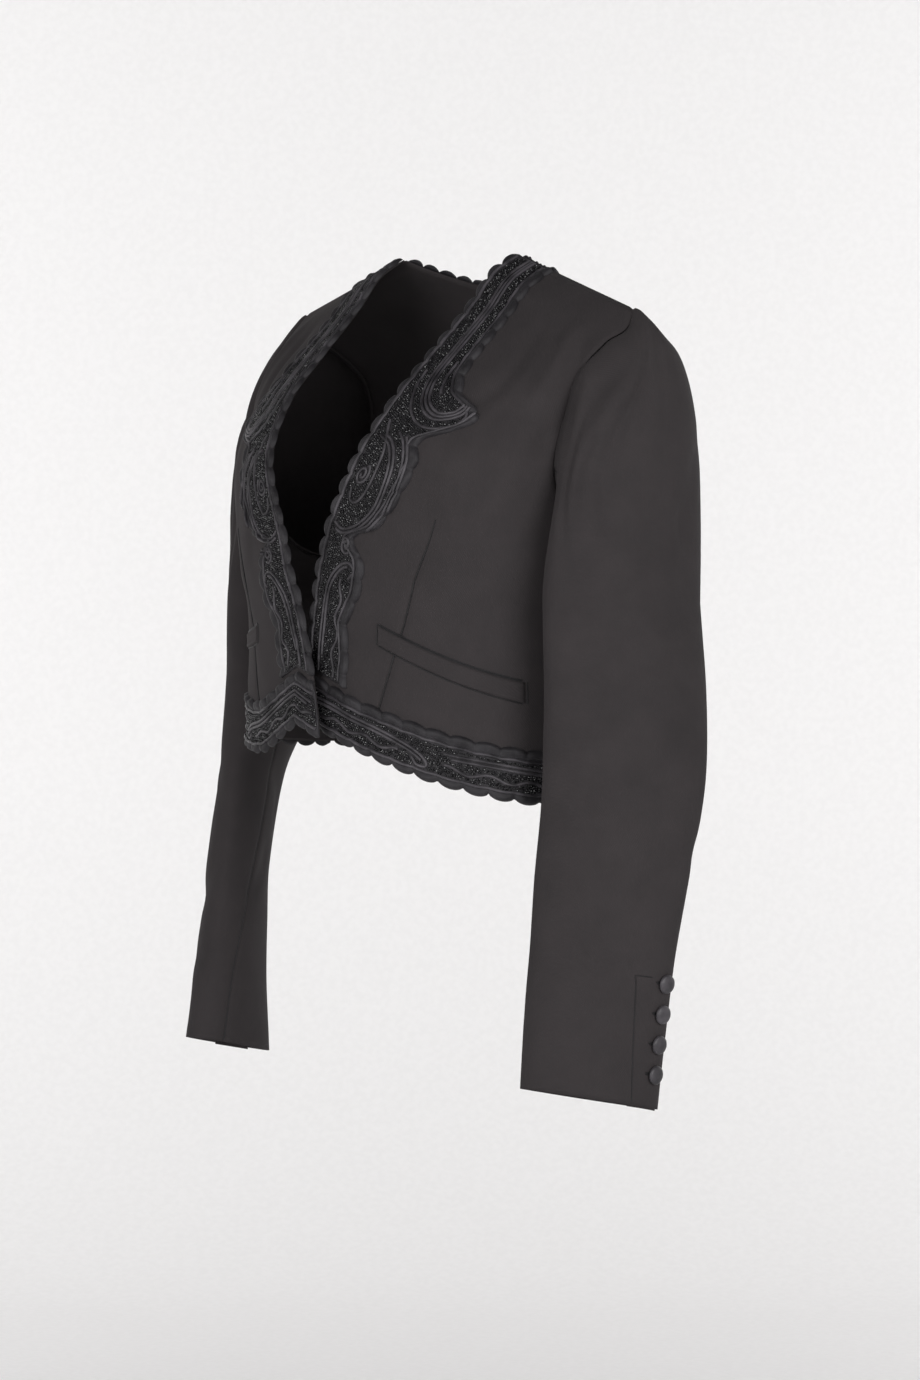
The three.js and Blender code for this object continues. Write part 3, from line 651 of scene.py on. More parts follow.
def back_wall():
    v = panel_rings(74, 62)[:, None]
    t = np.linspace(-1, 1, 170)[None, :]
    x = armhole_x(v, "back") * np.sin(t * math.pi / 2)
    v = v * lerp(1.0, back_top(x), smooth((v - UNDERARM) / (1 - UNDERARM)))
    outer, normals = two_sided_back(x, v)
    outer[-1, :, 1] += SEAM_GAP / 2
    # A seam down the middle of the back, pressed open
    middle = -0.8 * np.exp(-((x / 1.8) ** 2)) * np.ones_like(v)
    outer = outer + normals * middle[..., None]
    piece = cloth_wall("back_cloth", outer, normals, CLOTH_THICKNESS, ("left", "right", "last"), "draped")
    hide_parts("back")
    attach(piece, "root")
    return piece


def sleeve_wall(side, kind):
    body = np.linspace(0, 1, 60)
    lower = np.linspace(1, 2, 84)[1:]
    down = np.concatenate([body, lower])[:, None]
    cols = 84 if kind == "upper" else 48
    gap = 0.15
    seam = seam_at(down)
    if kind == "upper":
        start, end = seam["back"] + gap, seam["front"] - gap
    else:
        start, end = seam["front"] + gap, seam["back"] + 360 - gap
    angle = lerp(start, end, np.linspace(0, 1, cols)[None, :])
    outer, normals = sleeve_cloth(side, angle, np.broadcast_to(down, angle.shape))
    # The sleeve head starts tucked under the torso's edge, so that no gap shows at the armhole
    first = angle[0] % 360
    tucked = [armhole_point(side, first, 3.0, -6.5), armhole_point(side, first, 2.4, -0.8)]
    outer = np.concatenate([np.stack(tucked), outer[1:]])
    normals = np.concatenate([normals[:1], normals[:1], normals[1:]])
    name = f"sleeve_{kind}_{side_name(side)}_cloth"
    piece = cloth_wall(name, outer, normals, SLEEVE_THICKNESS, ("left", "right"), "hung")
    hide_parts(f"{kind}_sleeve_{side_name(side)}")
    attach(piece, "root")
    return piece


class Band:
    """A strip of border on the torso: s runs along its edge and t across it, both in mm."""

    def __init__(self, name, place, reach, pitch, outer_scallops=True, inner_scallops=True):
        along = np.linspace(0, 1, 600)
        points, _ = place(along, np.full(600, 12.0))
        steps = np.linalg.norm(np.diff(points, axis=0), axis=-1)
        self.name = name
        self.raw = place
        self.reach_at = reach
        self.mm = np.concatenate([[0], np.cumsum(steps)])
        self.along = along
        self.length = float(self.mm[-1])
        # A whole number of petals fits the length
        self.pitch = self.length / max(1, round(self.length / pitch))
        self.outer_scallops = outer_scallops
        self.inner_scallops = inner_scallops

    def fraction(self, s):
        return np.interp(s, self.mm, self.along)

    def bulge(self, s):
        """0 between two petals and 1 at a petal's middle."""
        return np.abs(np.sin(math.pi * np.asarray(s, float) / self.pitch))

    def low(self, s):
        reach = SCALLOP_REACH * np.sqrt(np.clip(self.bulge(s), 0, 1))
        return -reach if self.outer_scallops else -1.0 + 0 * reach

    def high(self, s):
        bulge = self.bulge(np.asarray(s, float) + self.pitch / 2)
        rim = 3.0 * np.sqrt(bulge) - 1.5 if self.inner_scallops else 0 * bulge
        return self.reach_at(self.fraction(s)) + rim

    def put(self, s, t, height):
        """Points on the band, this far above the cloth."""
        s, t = np.broadcast_arrays(np.asarray(s, float), np.asarray(t, float))
        points, normals = self.raw(self.fraction(s), t)
        return points + normals * np.asarray(height)[..., None], normals

    def relief(self, s, t):
        """Height of the padded ground: puffed petals at its rims, a low quilted field between."""
        from_low = t - self.low(s)
        from_high = self.high(s) - t
        field = 1.25 + 0.18 * np.sin(t * 0.9 + 2.0 * np.sin(s / 17.0))
        height = field * np.ones_like(s * t)
        rims = []
        if self.outer_scallops:
            rims.append((from_low, self.bulge(s)))
        if self.inner_scallops:
            rims.append((from_high, self.bulge(np.asarray(s, float) + self.pitch / 2)))
        for depth, bulge in rims:
            t_in = np.clip(depth / PETAL_DEPTH, 0, 1)
            puff = PETAL_PUFF * np.sqrt(bulge) * np.sin(math.pi * t_in**0.7) ** 0.8
            vein = 0.35 * np.sin(math.pi * t_in) * np.exp(-(((1 - bulge) / 0.02) ** 2))
            petal = np.maximum(height * smooth(depth / 1.2), 0.5) + puff - vein
            height = np.where(depth < PETAL_DEPTH, petal, height)
        rim = np.minimum(from_low, from_high)
        return height * (0.45 + 0.55 * smooth(rim / 1.0))


PETAL_DEPTH = 9.0
PETAL_PUFF = 2.8
CORD_RADIUS = 1.25
CORD_STEP = 1.6
NESTED_CORD_GAP = 3.4
RIM_CORD_END = 3
BEAD_RADIUS = 0.95
BEAD_PITCH = 2.05
BEAD_ROW_GAP = BEAD_PITCH * 0.88
BEAD_STRAY = 0.4
LONGEST_REACH = 92
FRONT_PETAL_PITCH = 19.0
HEM_PETAL_PITCH = 21.0
HEM_SCROLL_LENGTH = 170
GROUND_STEP = 1.3
CLOTH_THICKNESS = 1.7
SLEEVE_THICKNESS = 1.5
SEAM_THREAD_RADIUS = 0.6
THREAD_SIDES = 6


def front_band(side):
    edge_name = "edge_" + side_name(side)

    def place(along, t):
        v = lerp(FRONT_BORDER_FOOT, FRONT_BORDER_TOP, along)
        return torso_cloth(side, front_angle(torso_at(v)[edge_name] + t, v), v)

    def reach(along):
        return front_border_at(lerp(FRONT_BORDER_FOOT, FRONT_BORDER_TOP, along))["reach"]

    return Band("border_front_" + side_name(side), place, reach, FRONT_PETAL_PITCH)


def front_hem_band(side):
    edge_name = "edge_" + side_name(side)

    def place(along, t):
        v = t / HEM_STEP
        ring = torso_at(v)
        share = lerp((ring[edge_name] - 2) / ring["width"], 1, along)
        turned = lerp(share, np.sin(share * math.pi / 2), np.clip(along, 0, 1) * 0.6)
        limit = (1 - (1.0 / ring["front"]) ** RING_POWER) ** (1 / RING_POWER)
        return torso_cloth(side, front_angle(ring["width"] * np.minimum(turned, limit), v), v)

    return Band("border_hem_" + side_name(side), place,
                lambda along: HEM_BORDER_HEIGHT + 0 * along, HEM_PETAL_PITCH)


def back_hem_band():
    def place(along, t):
        v = t / HEM_STEP
        ring = torso_at(v)
        limit = (1 - (1.0 / ring["back"]) ** RING_POWER) ** (1 / RING_POWER)
        share = np.clip(np.sin((along * 2 - 1) * math.pi / 2), -limit, limit)
        return two_sided_back(share * ring["width"], v)

    return Band("border_hem_back", place, lambda along: HEM_BORDER_HEIGHT + 0 * along, HEM_PETAL_PITCH)


def back_neck_band():
    def place(along, t):
        reach = lerp(-1, 1, along)
        across = t / 39
        x = reach * lerp(BACK_NECK_HALF - 1, BACK_NECK_HALF + 38, across)
        drop = BACK_NECK_BORDER * across * np.cos(reach * math.pi / 2 * 0.999) ** 0.8
        return two_sided_back(x, back_top(reach * BACK_NECK_HALF) - 0.003 - drop)

    return Band("border_neck_back", place, lambda along: 37.0 + 0 * along, FRONT_PETAL_PITCH)


def two_sided_back(x, v):
    """Points and normals of the back's cloth, on both sides of its middle."""
    angle = back_angle(x, v)
    left, normal_left = torso_cloth(1, angle, v)
    right, normal_right = torso_cloth(-1, angle, v)
    is_left = (x >= 0)[..., None]
    return np.where(is_left, left, right), np.where(is_left, normal_left, normal_right)


def ground_piece(band):
    """The padded ground of a band, which stands for the band's solid."""
    rows = int(band.length / GROUND_STEP)
    cols = max(18, int(float(np.max(band.reach_at(band.along))) / 1.5))
    s = np.linspace(0.6, band.length - 0.6, rows)[:, None]
    w = np.linspace(0, 1, cols)[None, :]
    t = lerp(band.low(s), band.high(s), w)
    s = np.broadcast_to(s, t.shape)
    outer, normals = band.put(s, t, band.relief(s, t))
    inner, _ = band.put(s, t, np.full(t.shape, 0.12))
    uvs = np.stack([t, s], -1)
    piece = wall_object(band.name + "_ground", outer, inner, uvs, material_for("black_cotton_sateen_ground"))
    across = np.linalg.norm(np.diff(inner, axis=1), axis=-1).sum(1)
    along = np.linalg.norm(np.diff(inner, axis=0), axis=-1).sum(0)
    note_flat(piece, across.max(), along.max(), grid_area(inner), "draped")
    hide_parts(band.name)
    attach(piece, "root")
    return piece


def rounded(path, step=CORD_STEP):
    """A path of (s, t) corners turned into a smooth one with points a step apart."""
    path = np.asarray(path, float)
    padded = np.concatenate([[2 * path[0] - path[1]], path, [2 * path[-1] - path[-2]]])
    points = []
    for i in range(len(path) - 1):
        p0, p1, p2, p3 = padded[i:i + 4]
        count = max(2, int(np.linalg.norm(p2 - p1) / step))
        t = (np.arange(count) / count)[:, None]
        points.append(0.5 * (2 * p1 + (p2 - p0) * t + (2 * p0 - 5 * p1 + 4 * p2 - p3) * t**2
                             + (3 * p1 - p0 - 3 * p2 + p3) * t**3))
    points.append(path[-1:])
    return np.concatenate(points)


def beside(path, distance):
    """A path moved sideways by a distance."""
    along = np.gradient(path, axis=0)
    along /= np.maximum(np.linalg.norm(along, axis=1, keepdims=True), 1e-6)
    return path + np.stack([-along[:, 1], along[:, 0]], -1) * distance


def spiral_path(s, t, radius, turns, start=0.0, stretch=1.3):
    a = np.linspace(0, turns * 2 * math.pi, int(turns * 18))
    r = radius * (1 - 0.86 * a / a[-1])
    return np.stack([s + stretch * r * np.cos(a + start), t + r * np.sin(a + start)], -1)


def rim_paths(band):
    """Outline cords just behind the petals of both rims."""
    s = np.arange(RIM_CORD_END, band.length - RIM_CORD_END, CORD_STEP)
    outer = np.stack([s, PETAL_DEPTH - SCALLOP_REACH - 0.3 - 0.8 * band.bulge(s)], -1)
    inner = band.reach_at(band.fraction(s)) - PETAL_DEPTH + 0.8 * band.bulge(s + band.pitch / 2)
    return [outer, np.stack([s, inner], -1)]


# Corners of the border's scroll cords, as (s, t) in mm: s up the edge, t onto the cloth
NECK_SCROLL = (
    (432, 21), (400, 21), (350, 22), (305, 23), (272, 24), (250, 30), (236, 41), (229, 55), (233, 68),
    (243, 73),
)
PAISLEY = ((207, 13), (199, 27), (184, 37), (166, 41), (146, 40), (131, 31), (124, 18), (128, 7))
PAISLEY_HEART = ((222, 12), (206, 20), (193, 26), (178, 28), (160, 27), (148, 21), (150, 13), (160, 10))
LOWER_SCROLL = ((3, 14), (30, 13), (56, 13), (78, 16), (92, 24), (97, 34), (91, 41), (84, 37))


def front_cords(band):
    """Cord paths of a front's border."""
    neck = rounded(NECK_SCROLL)
    paisley = rounded(PAISLEY)
    lower = rounded(LOWER_SCROLL)
    cords = rim_paths(band)
    cords += [beside(neck, d) for d in (-NESTED_CORD_GAP, 0.0, NESTED_CORD_GAP)]
    cords += [beside(neck, -13.0)[88:-30], beside(neck, 12.5)[96:-2]]
    cords += [paisley, beside(paisley, -NESTED_CORD_GAP)[3:-3]]
    cords += [beside(paisley, -11.5)[8:-8], beside(paisley, -15.0)[12:-12], rounded(PAISLEY_HEART)]
    cords += [spiral_path(172, 16, 7.0, 1.8, 0.6), spiral_path(112, 27, 6.5, 1.6, 2.4)]
    cords += [lower, beside(lower, 3.6)[8:-10]]
    s = np.arange(4, 84, CORD_STEP)
    cords += [np.stack([s, 31 + 2.4 * np.sin(s / 4.6)], -1)]
    return cords


def hem_cords(band):
    """Cord paths of a stretch of hem, in scrolls of like length."""
    count = max(1, round(band.length / HEM_SCROLL_LENGTH))
    unit = band.length / count
    cords = rim_paths(band)
    for k in range(count):
        start = k * unit
        line = [(start + 6, 23), (start + unit * 0.3, 25), (start + unit * 0.62, 24), (start + unit - 26, 20),
                (start + unit - 12, 14), (start + unit - 10, 8), (start + unit - 18, 7),
                (start + unit - 23, 12)]
        path = rounded(line)
        s = np.arange(start + 6, start + unit - 34, CORD_STEP)
        cords += [path, beside(path, -NESTED_CORD_GAP)[4:-12]]
        cords.append(np.stack([s, 12.0 + 2.2 * np.sin((s - start) / 5.5)], -1))
    return cords


def neck_back_cords(band):
    s = np.arange(RIM_CORD_END, band.length - RIM_CORD_END, CORD_STEP)
    cords = rim_paths(band)
    cords += [np.stack([s, t + 0 * s], -1) for t in (12.5, 17.0, 21.5)]
    return cords


def inside_band(band, path, margin=1.0):
    """The part of a path that lies on its band."""
    keep = (path[:, 0] > margin) & (path[:, 0] < band.length - margin)
    keep &= (path[:, 1] > band.low(path[:, 0]) + margin) & (path[:, 1] < band.high(path[:, 0]) - margin)
    return path[keep]


def cord_piece(name, band, paths, radius, material):
    """Satin cords couched along their paths, made by a Geometry Nodes tree."""
    vertices, edges = [], []
    for path in paths:
        path = inside_band(band, path)
        if len(path) < 3:
            continue
        points, _ = band.put(path[:, 0], path[:, 1], band.relief(path[:, 0], path[:, 1]) + radius * 0.45)
        first = len(vertices)
        vertices.extend(points.tolist())
        gaps = np.linalg.norm(np.diff(path, axis=0), axis=1)
        edges.extend((first + i, first + i + 1) for i in range(len(points) - 1) if gaps[i] < 6)
    mesh = bpy.data.meshes.new(name)
    mesh.from_pydata((np.array(vertices) * MM).tolist(), edges, [])
    obj = bpy.data.objects.new(name, mesh)
    bpy.context.scene.collection.objects.link(obj)
    values = {"Radius": radius * MM, "Sides": 7}
    return grown(obj, cord_tree(material), values)


def channel_places(band, cords, rng):
    """Places of the beads, as (s, t): staggered rows in the channels between the cords."""
    along = np.arange(RIM_CORD_END, band.length - RIM_CORD_END, BEAD_PITCH)
    s, t = np.meshgrid(along, np.arange(4, LONGEST_REACH, BEAD_ROW_GAP), indexing="ij")
    s = s + (np.arange(s.shape[1]) % 2) * BEAD_PITCH / 2
    places = np.stack([s.ravel(), t.ravel()], -1) + rng.uniform(-BEAD_STRAY, BEAD_STRAY, (s.size, 2))
    inner = band.reach_at(band.fraction(places[:, 0])) - PETAL_DEPTH
    places = places[(places[:, 1] > PETAL_DEPTH - SCALLOP_REACH) & (places[:, 1] < inner)]
    lines = np.concatenate([inside_band(band, path) for path in cords])
    nearest = []
    for part in np.array_split(places, 16):
        gaps = part[:, None, :] - lines[None, :, :]
        nearest.append(np.hypot(gaps[..., 0], gaps[..., 1]).min(axis=1))
    return places[np.concatenate(nearest) > CORD_RADIUS + BEAD_RADIUS * 0.8]


def bead_piece(name, band, cords, material, seed):
    """Small cut beads sewn close together between the cords, made by a Geometry Nodes tree."""
    places = channel_places(band, cords, np.random.default_rng(seed))
    height = band.relief(places[:, 0], places[:, 1]) + BEAD_RADIUS * 0.45
    points, _ = band.put(places[:, 0], places[:, 1], height)
    mesh = bpy.data.meshes.new(name)
    mesh.from_pydata((points * MM).tolist(), [], [])
    obj = bpy.data.objects.new(name, mesh)
    bpy.context.scene.collection.objects.link(obj)
    return grown(obj, bead_tree(material), {"Radius": BEAD_RADIUS * MM, "Seed": seed})


def node_group(name, inputs):
    """An empty Geometry Nodes tree with its sockets, its input node and its output node."""
    tree = bpy.data.node_groups.new(name, "GeometryNodeTree")
    tree.interface.new_socket("Geometry", in_out="INPUT", socket_type="NodeSocketGeometry")
    for label, kind, default in inputs:
        socket = tree.interface.new_socket(label, in_out="INPUT", socket_type=kind)
        socket.default_value = default
    tree.interface.new_socket("Geometry", in_out="OUTPUT", socket_type="NodeSocketGeometry")
    return tree, add_node(tree, "NodeGroupInput"), add_node(tree, "NodeGroupOutput")


def cord_tree(material):
    tree, given, result = node_group("couched_cord", (
        ("Radius", "NodeSocketFloat", 0.00125), ("Sides", "NodeSocketInt", 7)))
    curve = add_node(tree, "GeometryNodeMeshToCurve", None, {"Mesh": given.outputs["Geometry"]})
    ring = add_node(tree, "GeometryNodeCurvePrimitiveCircle", None, {
        "Resolution": given.outputs["Sides"], "Radius": given.outputs["Radius"]})
    tube = add_node(tree, "GeometryNodeCurveToMesh", None, {
        "Curve": curve.outputs["Curve"], "Profile Curve": ring.outputs["Curve"], "Fill Caps": True})
    shaded = add_node(tree, "GeometryNodeSetShadeSmooth", None, {"Geometry": tube.outputs["Mesh"]})
    real = add_node(tree, "GeometryNodeRealizeInstances", None, {"Geometry": shaded.outputs["Geometry"]})
    done = add_node(tree, "GeometryNodeSetMaterial", None, {
        "Geometry": real.outputs["Geometry"], "Material": material})
    tree.links.new(done.outputs["Geometry"], result.inputs["Geometry"])
    return tree


def bead_tree(material):
    tree, given, result = node_group("sewn_beads", (
        ("Radius", "NodeSocketFloat", 0.001), ("Seed", "NodeSocketInt", 1)))
    bead = add_node(tree, "GeometryNodeMeshIcoSphere", None, {
        "Radius": given.outputs["Radius"], "Subdivisions": 1})
    turn = add_node(tree, "FunctionNodeRandomValue", {"data_type": "FLOAT_VECTOR"}, {
        "Seed": given.outputs["Seed"]})
    turn.inputs["Max"].default_value = (6.28, 6.28, 6.28)
    size = add_node(tree, "FunctionNodeRandomValue", {"data_type": "FLOAT"}, {"Seed": given.outputs["Seed"]})
    size.inputs[2].default_value = 0.78
    size.inputs[3].default_value = 1.18
    placed = add_node(tree, "GeometryNodeInstanceOnPoints", None, {
        "Points": given.outputs["Geometry"], "Instance": bead.outputs["Mesh"],
        "Rotation": turn.outputs["Value"], "Scale": size.outputs[1]})
    real = add_node(tree, "GeometryNodeRealizeInstances", None, {"Geometry": placed.outputs["Instances"]})
    done = add_node(tree, "GeometryNodeSetMaterial", None, {
        "Geometry": real.outputs["Geometry"], "Material": material})
    tree.links.new(done.outputs["Geometry"], result.inputs["Geometry"])
    return tree


def grown(obj, tree, values):
    """Runs a tree on an object and keeps its result as the object's plain mesh."""
    modifier = obj.modifiers.new("grow", "NODES")
    modifier.node_group = tree
    for item in tree.interface.items_tree:
        if item.item_type == "SOCKET" and item.in_out == "INPUT" and item.name in values:
            modifier[item.identifier] = values[item.name]
    graph = bpy.context.evaluated_depsgraph_get()
    mesh = bpy.data.meshes.new_from_object(obj.evaluated_get(graph))
    obj.modifiers.clear()
    source = obj.data
    obj.data = mesh
    bpy.data.meshes.remove(source)
    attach(obj, "root")
    return obj


# The dark silk of seams and buttonholes, whose darker tone is painted seam shade
def seam_shade_silk():
    return material_for("black_buttonhole_silk")


def thread_piece(name, lines, radius, sides, material):
    """Threads or fine edges along lines of millimetre points."""
    vertices, edges = [], []
    for line in lines:
        first = len(vertices)
        vertices.extend(np.asarray(line).tolist())
        edges.extend((first + i, first + i + 1) for i in range(len(line) - 1))
    mesh = bpy.data.meshes.new(name)
    mesh.from_pydata((np.array(vertices) * MM).tolist(), edges, [])
    obj = bpy.data.objects.new(name, mesh)
    bpy.context.scene.collection.objects.link(obj)
    return grown(obj, cord_tree(material), {"Radius": radius * MM, "Sides": sides})


def sleeve_seams(side):
    """The two long seams of a sleeve: dark threads sunk in the fine gap between its panels close it and paint
    the seam's shade.
    """
    down = np.linspace(0.01, 1.995, 200)
    lines = []
    for angle in (seam_at(down)["front"], seam_at(down)["back"]):
        points, normals = sleeve_cloth(side, angle, down)
        lines.append(points - normals * 1.1)
    return thread_piece(f"sleeve_{side_name(side)}_seams", lines, 0.65, THREAD_SIDES, seam_shade_silk())


def dart_seam(side):
    """The stitched line of a front's dart, sunk between its two folds; its dark silk paints the shade in the
    dart's groove.
    """
    v = np.linspace(DART_V[0], DART_V[-1], 150)
    points, normals = torso_cloth(side, front_angle(np.interp(v, DART_V, DART_X), v), v)
    depth = 0.6 * smooth((DART_V[-1] - v) / 0.10)
    line = points - normals * depth[:, None]
    name = f"dart_{side_name(side)}_seam"
    return thread_piece(name, [line], SEAM_THREAD_RADIUS, THREAD_SIDES, seam_shade_silk())


WELT_X = (83, 175)
WELT_TOP_V = (0.345, 0.295)
WELT_PUFF = 1.5


def welt_pieces(side):
    """A slanted pocket welt, the dark lines at its mouth that paint the shade of the slit, and the stitched
    line round it.
    """
    label = side_name(side)

    def place(along, across, height):
        x = lerp(WELT_X[0], WELT_X[1], along)
        v = lerp(WELT_TOP_V[0], WELT_TOP_V[1], along) - (1 - across) * WELT_HEIGHT / HEM_STEP
        points, normals = torso_cloth(side, front_angle(x, v), v)
        return points + normals * np.asarray(height)[..., None], normals

    along = np.linspace(0, 1, 94)[:, None]
    across = np.linspace(0, 1, 18)[None, :]
    length = WELT_X[1] - WELT_X[0]
    rim = np.minimum(np.minimum(along, 1 - along) * length, np.minimum(across, 1 - across) * WELT_HEIGHT)
    height = 0.45 + WELT_PUFF * smooth(rim / 1.5) ** 0.6 - 0.35 * smooth((rim - 1.5) / 3)
    outer, _ = place(along, across, height)
    inner, _ = place(along, across, np.full(height.shape, 0.1))
    uvs = np.stack(np.broadcast_arrays(along * length, across * WELT_HEIGHT), -1)
    piece = wall_object(f"welt_{label}_cloth", outer, inner, uvs, material_for("black_milled_wool"))
    middle_length = np.linalg.norm(np.diff(inner[:, 9], axis=0), axis=-1).sum()
    note_flat(piece, WELT_HEIGHT, middle_length, grid_area(inner), "draped")
    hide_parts(f"welt_{label}")
    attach(piece, "root")
    run = np.linspace(0.01, 0.99, 70)
    # Two dark silk lines along the mouth paint the shade inside the pocket's slit
    mouth = [place(run, np.full(70, 1 + rise), np.full(70, 0.15))[0] for rise in (0.02, 0.085)]
    ends = np.linspace(-0.05, 1.05, 14)
    lines = [*mouth, place(run, np.full(70, -0.05), np.full(70, 0.0))[0]]
    lines += [place(np.full(14, a), ends, np.full(14, 0.0))[0] for a in (-0.008, 1.008)]
    seams = thread_piece(f"welt_{label}_mouth", lines, 0.55, THREAD_SIDES, seam_shade_silk())


def turned_profile(name, profile, at, normal, sides, material):
    """A closed piece turned about a normal from (radius, height) pairs in mm."""
    axis = Vector(normal).normalized()
    first = axis.orthogonal().normalized()
    second = axis.cross(first)
    angles = np.arange(sides) * 2 * math.pi / sides
    rings = []
    for radius, height in profile[1:-1]:
        for a in angles:
            offset = (first * math.cos(a) + second * math.sin(a)) * radius + axis * height
            rings.append(np.array(at) + np.array(offset))
    base = np.array(at) + np.array(axis) * profile[0][1]
    top = np.array(at) + np.array(axis) * profile[-1][1]
    vertices = [base, *rings, top]
    faces = []
    count = len(profile) - 2
    for k in range(sides):
        n = (k + 1) % sides
        faces.append([0, 1 + n, 1 + k])
        for r in range(count - 1):
            low, high = 1 + r * sides, 1 + (r + 1) * sides
            faces.append([low + k, low + n, high + n, high + k])
        last = 1 + (count - 1) * sides
        faces.append([last + k, last + n, len(vertices) - 1])
    mesh = bpy.data.meshes.new(name)
    mesh.from_pydata((np.array(vertices) * MM).tolist(), [], faces)
    mesh.shade_smooth()
    mesh.materials.append(material)
    obj = bpy.data.objects.new(name, mesh)
    bpy.context.scene.collection.objects.link(obj)
    return obj


# Half-section of a covered button, from its seat to its crown
BUTTON_PROFILE = (
    (0.0, 0.0), (5.6, 0.0), (6.7, 0.5), (7.3, 1.2), (7.5, 1.9), (7.3, 2.6), (6.8, 3.1), (5.9, 3.55),
    (4.6, 4.0), (3.0, 4.4), (1.4, 4.58), (0.0, 4.62),
)


def button_pieces(side, number):
    """A covered cuff button and the worked buttonhole whose end shows beside it."""
    label = side_name(side)
    z = LOWEST_BUTTON_Z + BUTTON_PITCH * (number - 1)
    angle = lerp(BUTTON_ANGLE_LOW, BUTTON_ANGLE_HIGH, (number - 1) / (BUTTON_COUNT - 1))
    at = sleeve_on(side, angle, z)
    normal = np.cross(sleeve_on(side, angle + 1, z) - at, sleeve_on(side, angle, z + 4) - at)
    normal /= np.linalg.norm(normal)
    normal = -normal if normal[0] * side < 0 else normal
    name = f"button_{label}_{number}"
    button = turned_profile(name + "_cover", BUTTON_PROFILE, at + normal * 0.1, normal, 36,
                            material_for("black_satin_button_cover"))
    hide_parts(name)
    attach(button, "root")
    # The buttonhole runs round the sleeve from under the button towards the front
    turn = np.linspace(0, 2 * math.pi, 40)
    across = angle + 6.0 + 7.5 * np.cos(turn)
    height = z + 1.1 * np.sin(turn)
    loop = np.array([sleeve_on(side, a, h) for a, h in zip(across, height)]) + normal * 0.25
    slit = np.array([sleeve_on(side, a, z) for a in np.linspace(angle - 1, angle + 13, 16)])
    hole = thread_piece(name + "_buttonhole", [loop, slit + normal * 0.1], 0.5, THREAD_SIDES, seam_shade_silk())
    return [button, hole]


def sleeve_on(side, angle, z):
    """A point of the finished sleeve at an angle and a height."""
    down = 1 + (BICEP_Z - z) / (BICEP_Z - CUFF_Z)
    point, _ = sleeve_cloth(side, np.array([angle]), np.array([down]))
    return point[0]


VENT_ANGLE = -31.0
VENT_TOP = 1.745


def vent_pieces(side):
    """The closed vent above a cuff: its pressed edge, and the underlap that shows below the hem."""
    label = side_name(side)
    down = np.linspace(VENT_TOP, 1.996, 60)
    edge, normals = sleeve_cloth(side, VENT_ANGLE + 1.2 * smooth((VENT_TOP + 0.02 - down) / 0.02), down)
    turned = np.linspace(VENT_ANGLE, VENT_ANGLE - 16, 18)
    top_turn, top_normals = sleeve_cloth(side, turned, np.full(18, VENT_TOP))
    lines = [edge + normals * 0.1, top_turn + top_normals * 0.05]
    seam = thread_piece(f"vent_{label}_edge", lines, 0.42, THREAD_SIDES, seam_shade_silk())
    angle = np.linspace(-78, VENT_ANGLE + 3, 34)[None, :]
    down = np.linspace(1.94, 2.004, 10)[:, None]
    outer, normals = sleeve_cloth(side, np.broadcast_to(angle, (10, 34)), np.broadcast_to(down, (10, 34)))
    outer = outer - normals * CLOTH_THICKNESS
    lap = cloth_wall(f"vent_{label}_underlap", outer, normals, 1.1, ("last",), "hung")
    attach(lap, "root")


def tone_property(name, description, color):
    """A colour of the jacket that can be set in the panel."""
    return bpy.props.FloatVectorProperty(name=name, description=description, subtype="COLOR", size=3,
                                         min=0.0, max=1.0, default=hex_color(color)[:3])


class JacketColors(bpy.types.PropertyGroup):
    cloth_dark: tone_property("Cloth, dark", "Darker tone of the milled wool", "#2C292A")
    cloth_light: tone_property("Cloth, light", "Lighter tone of the milled wool", "#363233")
    ground: tone_property("Border ground", "Sateen ground of the border", "#1C1A1D")
    # The cord's light tone is painted highlight on the raised cords
    cord: tone_property("Cord", "Rayon cord of the border's lines", "#49464A")
    bead: tone_property("Beads", "Glass of the sewn beads", "#0C0B0D")


class JacketSizes(bpy.types.PropertyGroup):
    cord_radius: bpy.props.FloatProperty(
        name="Cord radius", description="Radius of the border's satin cord", subtype="DISTANCE",
        min=0.0003, max=0.004, default=CORD_RADIUS * MM)
    fill_distance: bpy.props.FloatProperty(
        name="Backdrop distance", description="How far the backdrop stands behind the jacket",
        subtype="DISTANCE", min=1.0, max=8.0, default=4.2)
    camera_distance: bpy.props.FloatProperty(
        name="Camera distance", description="From the camera to the jacket's upright axis",
        subtype="DISTANCE", min=1.0, max=10.0, default=3.3)


class JACKET_OT_back(bpy.types.Operator):
    """Builds the back panel"""
    bl_idname = "jacket.back"
    bl_label = "Back panel"

    def execute(self, context):
        back_wall()
        return {"FINISHED"}


class JACKET_OT_fronts(bpy.types.Operator):
    """Builds the two front panels with their darts"""
    bl_idname = "jacket.fronts"
    bl_label = "Front panels"

    def execute(self, context):
        for side in (1, -1):
            front_wall(side)
            dart_seam(side)
        return {"FINISHED"}


class JACKET_OT_sleeves(bpy.types.Operator):
    """Builds the two-piece sleeves"""
    bl_idname = "jacket.sleeves"
    bl_label = "Sleeves"

    def execute(self, context):
        for side in (1, -1):
            sleeve_wall(side, "upper")
            sleeve_seams(side)
            sleeve_wall(side, "under")
        return {"FINISHED"}


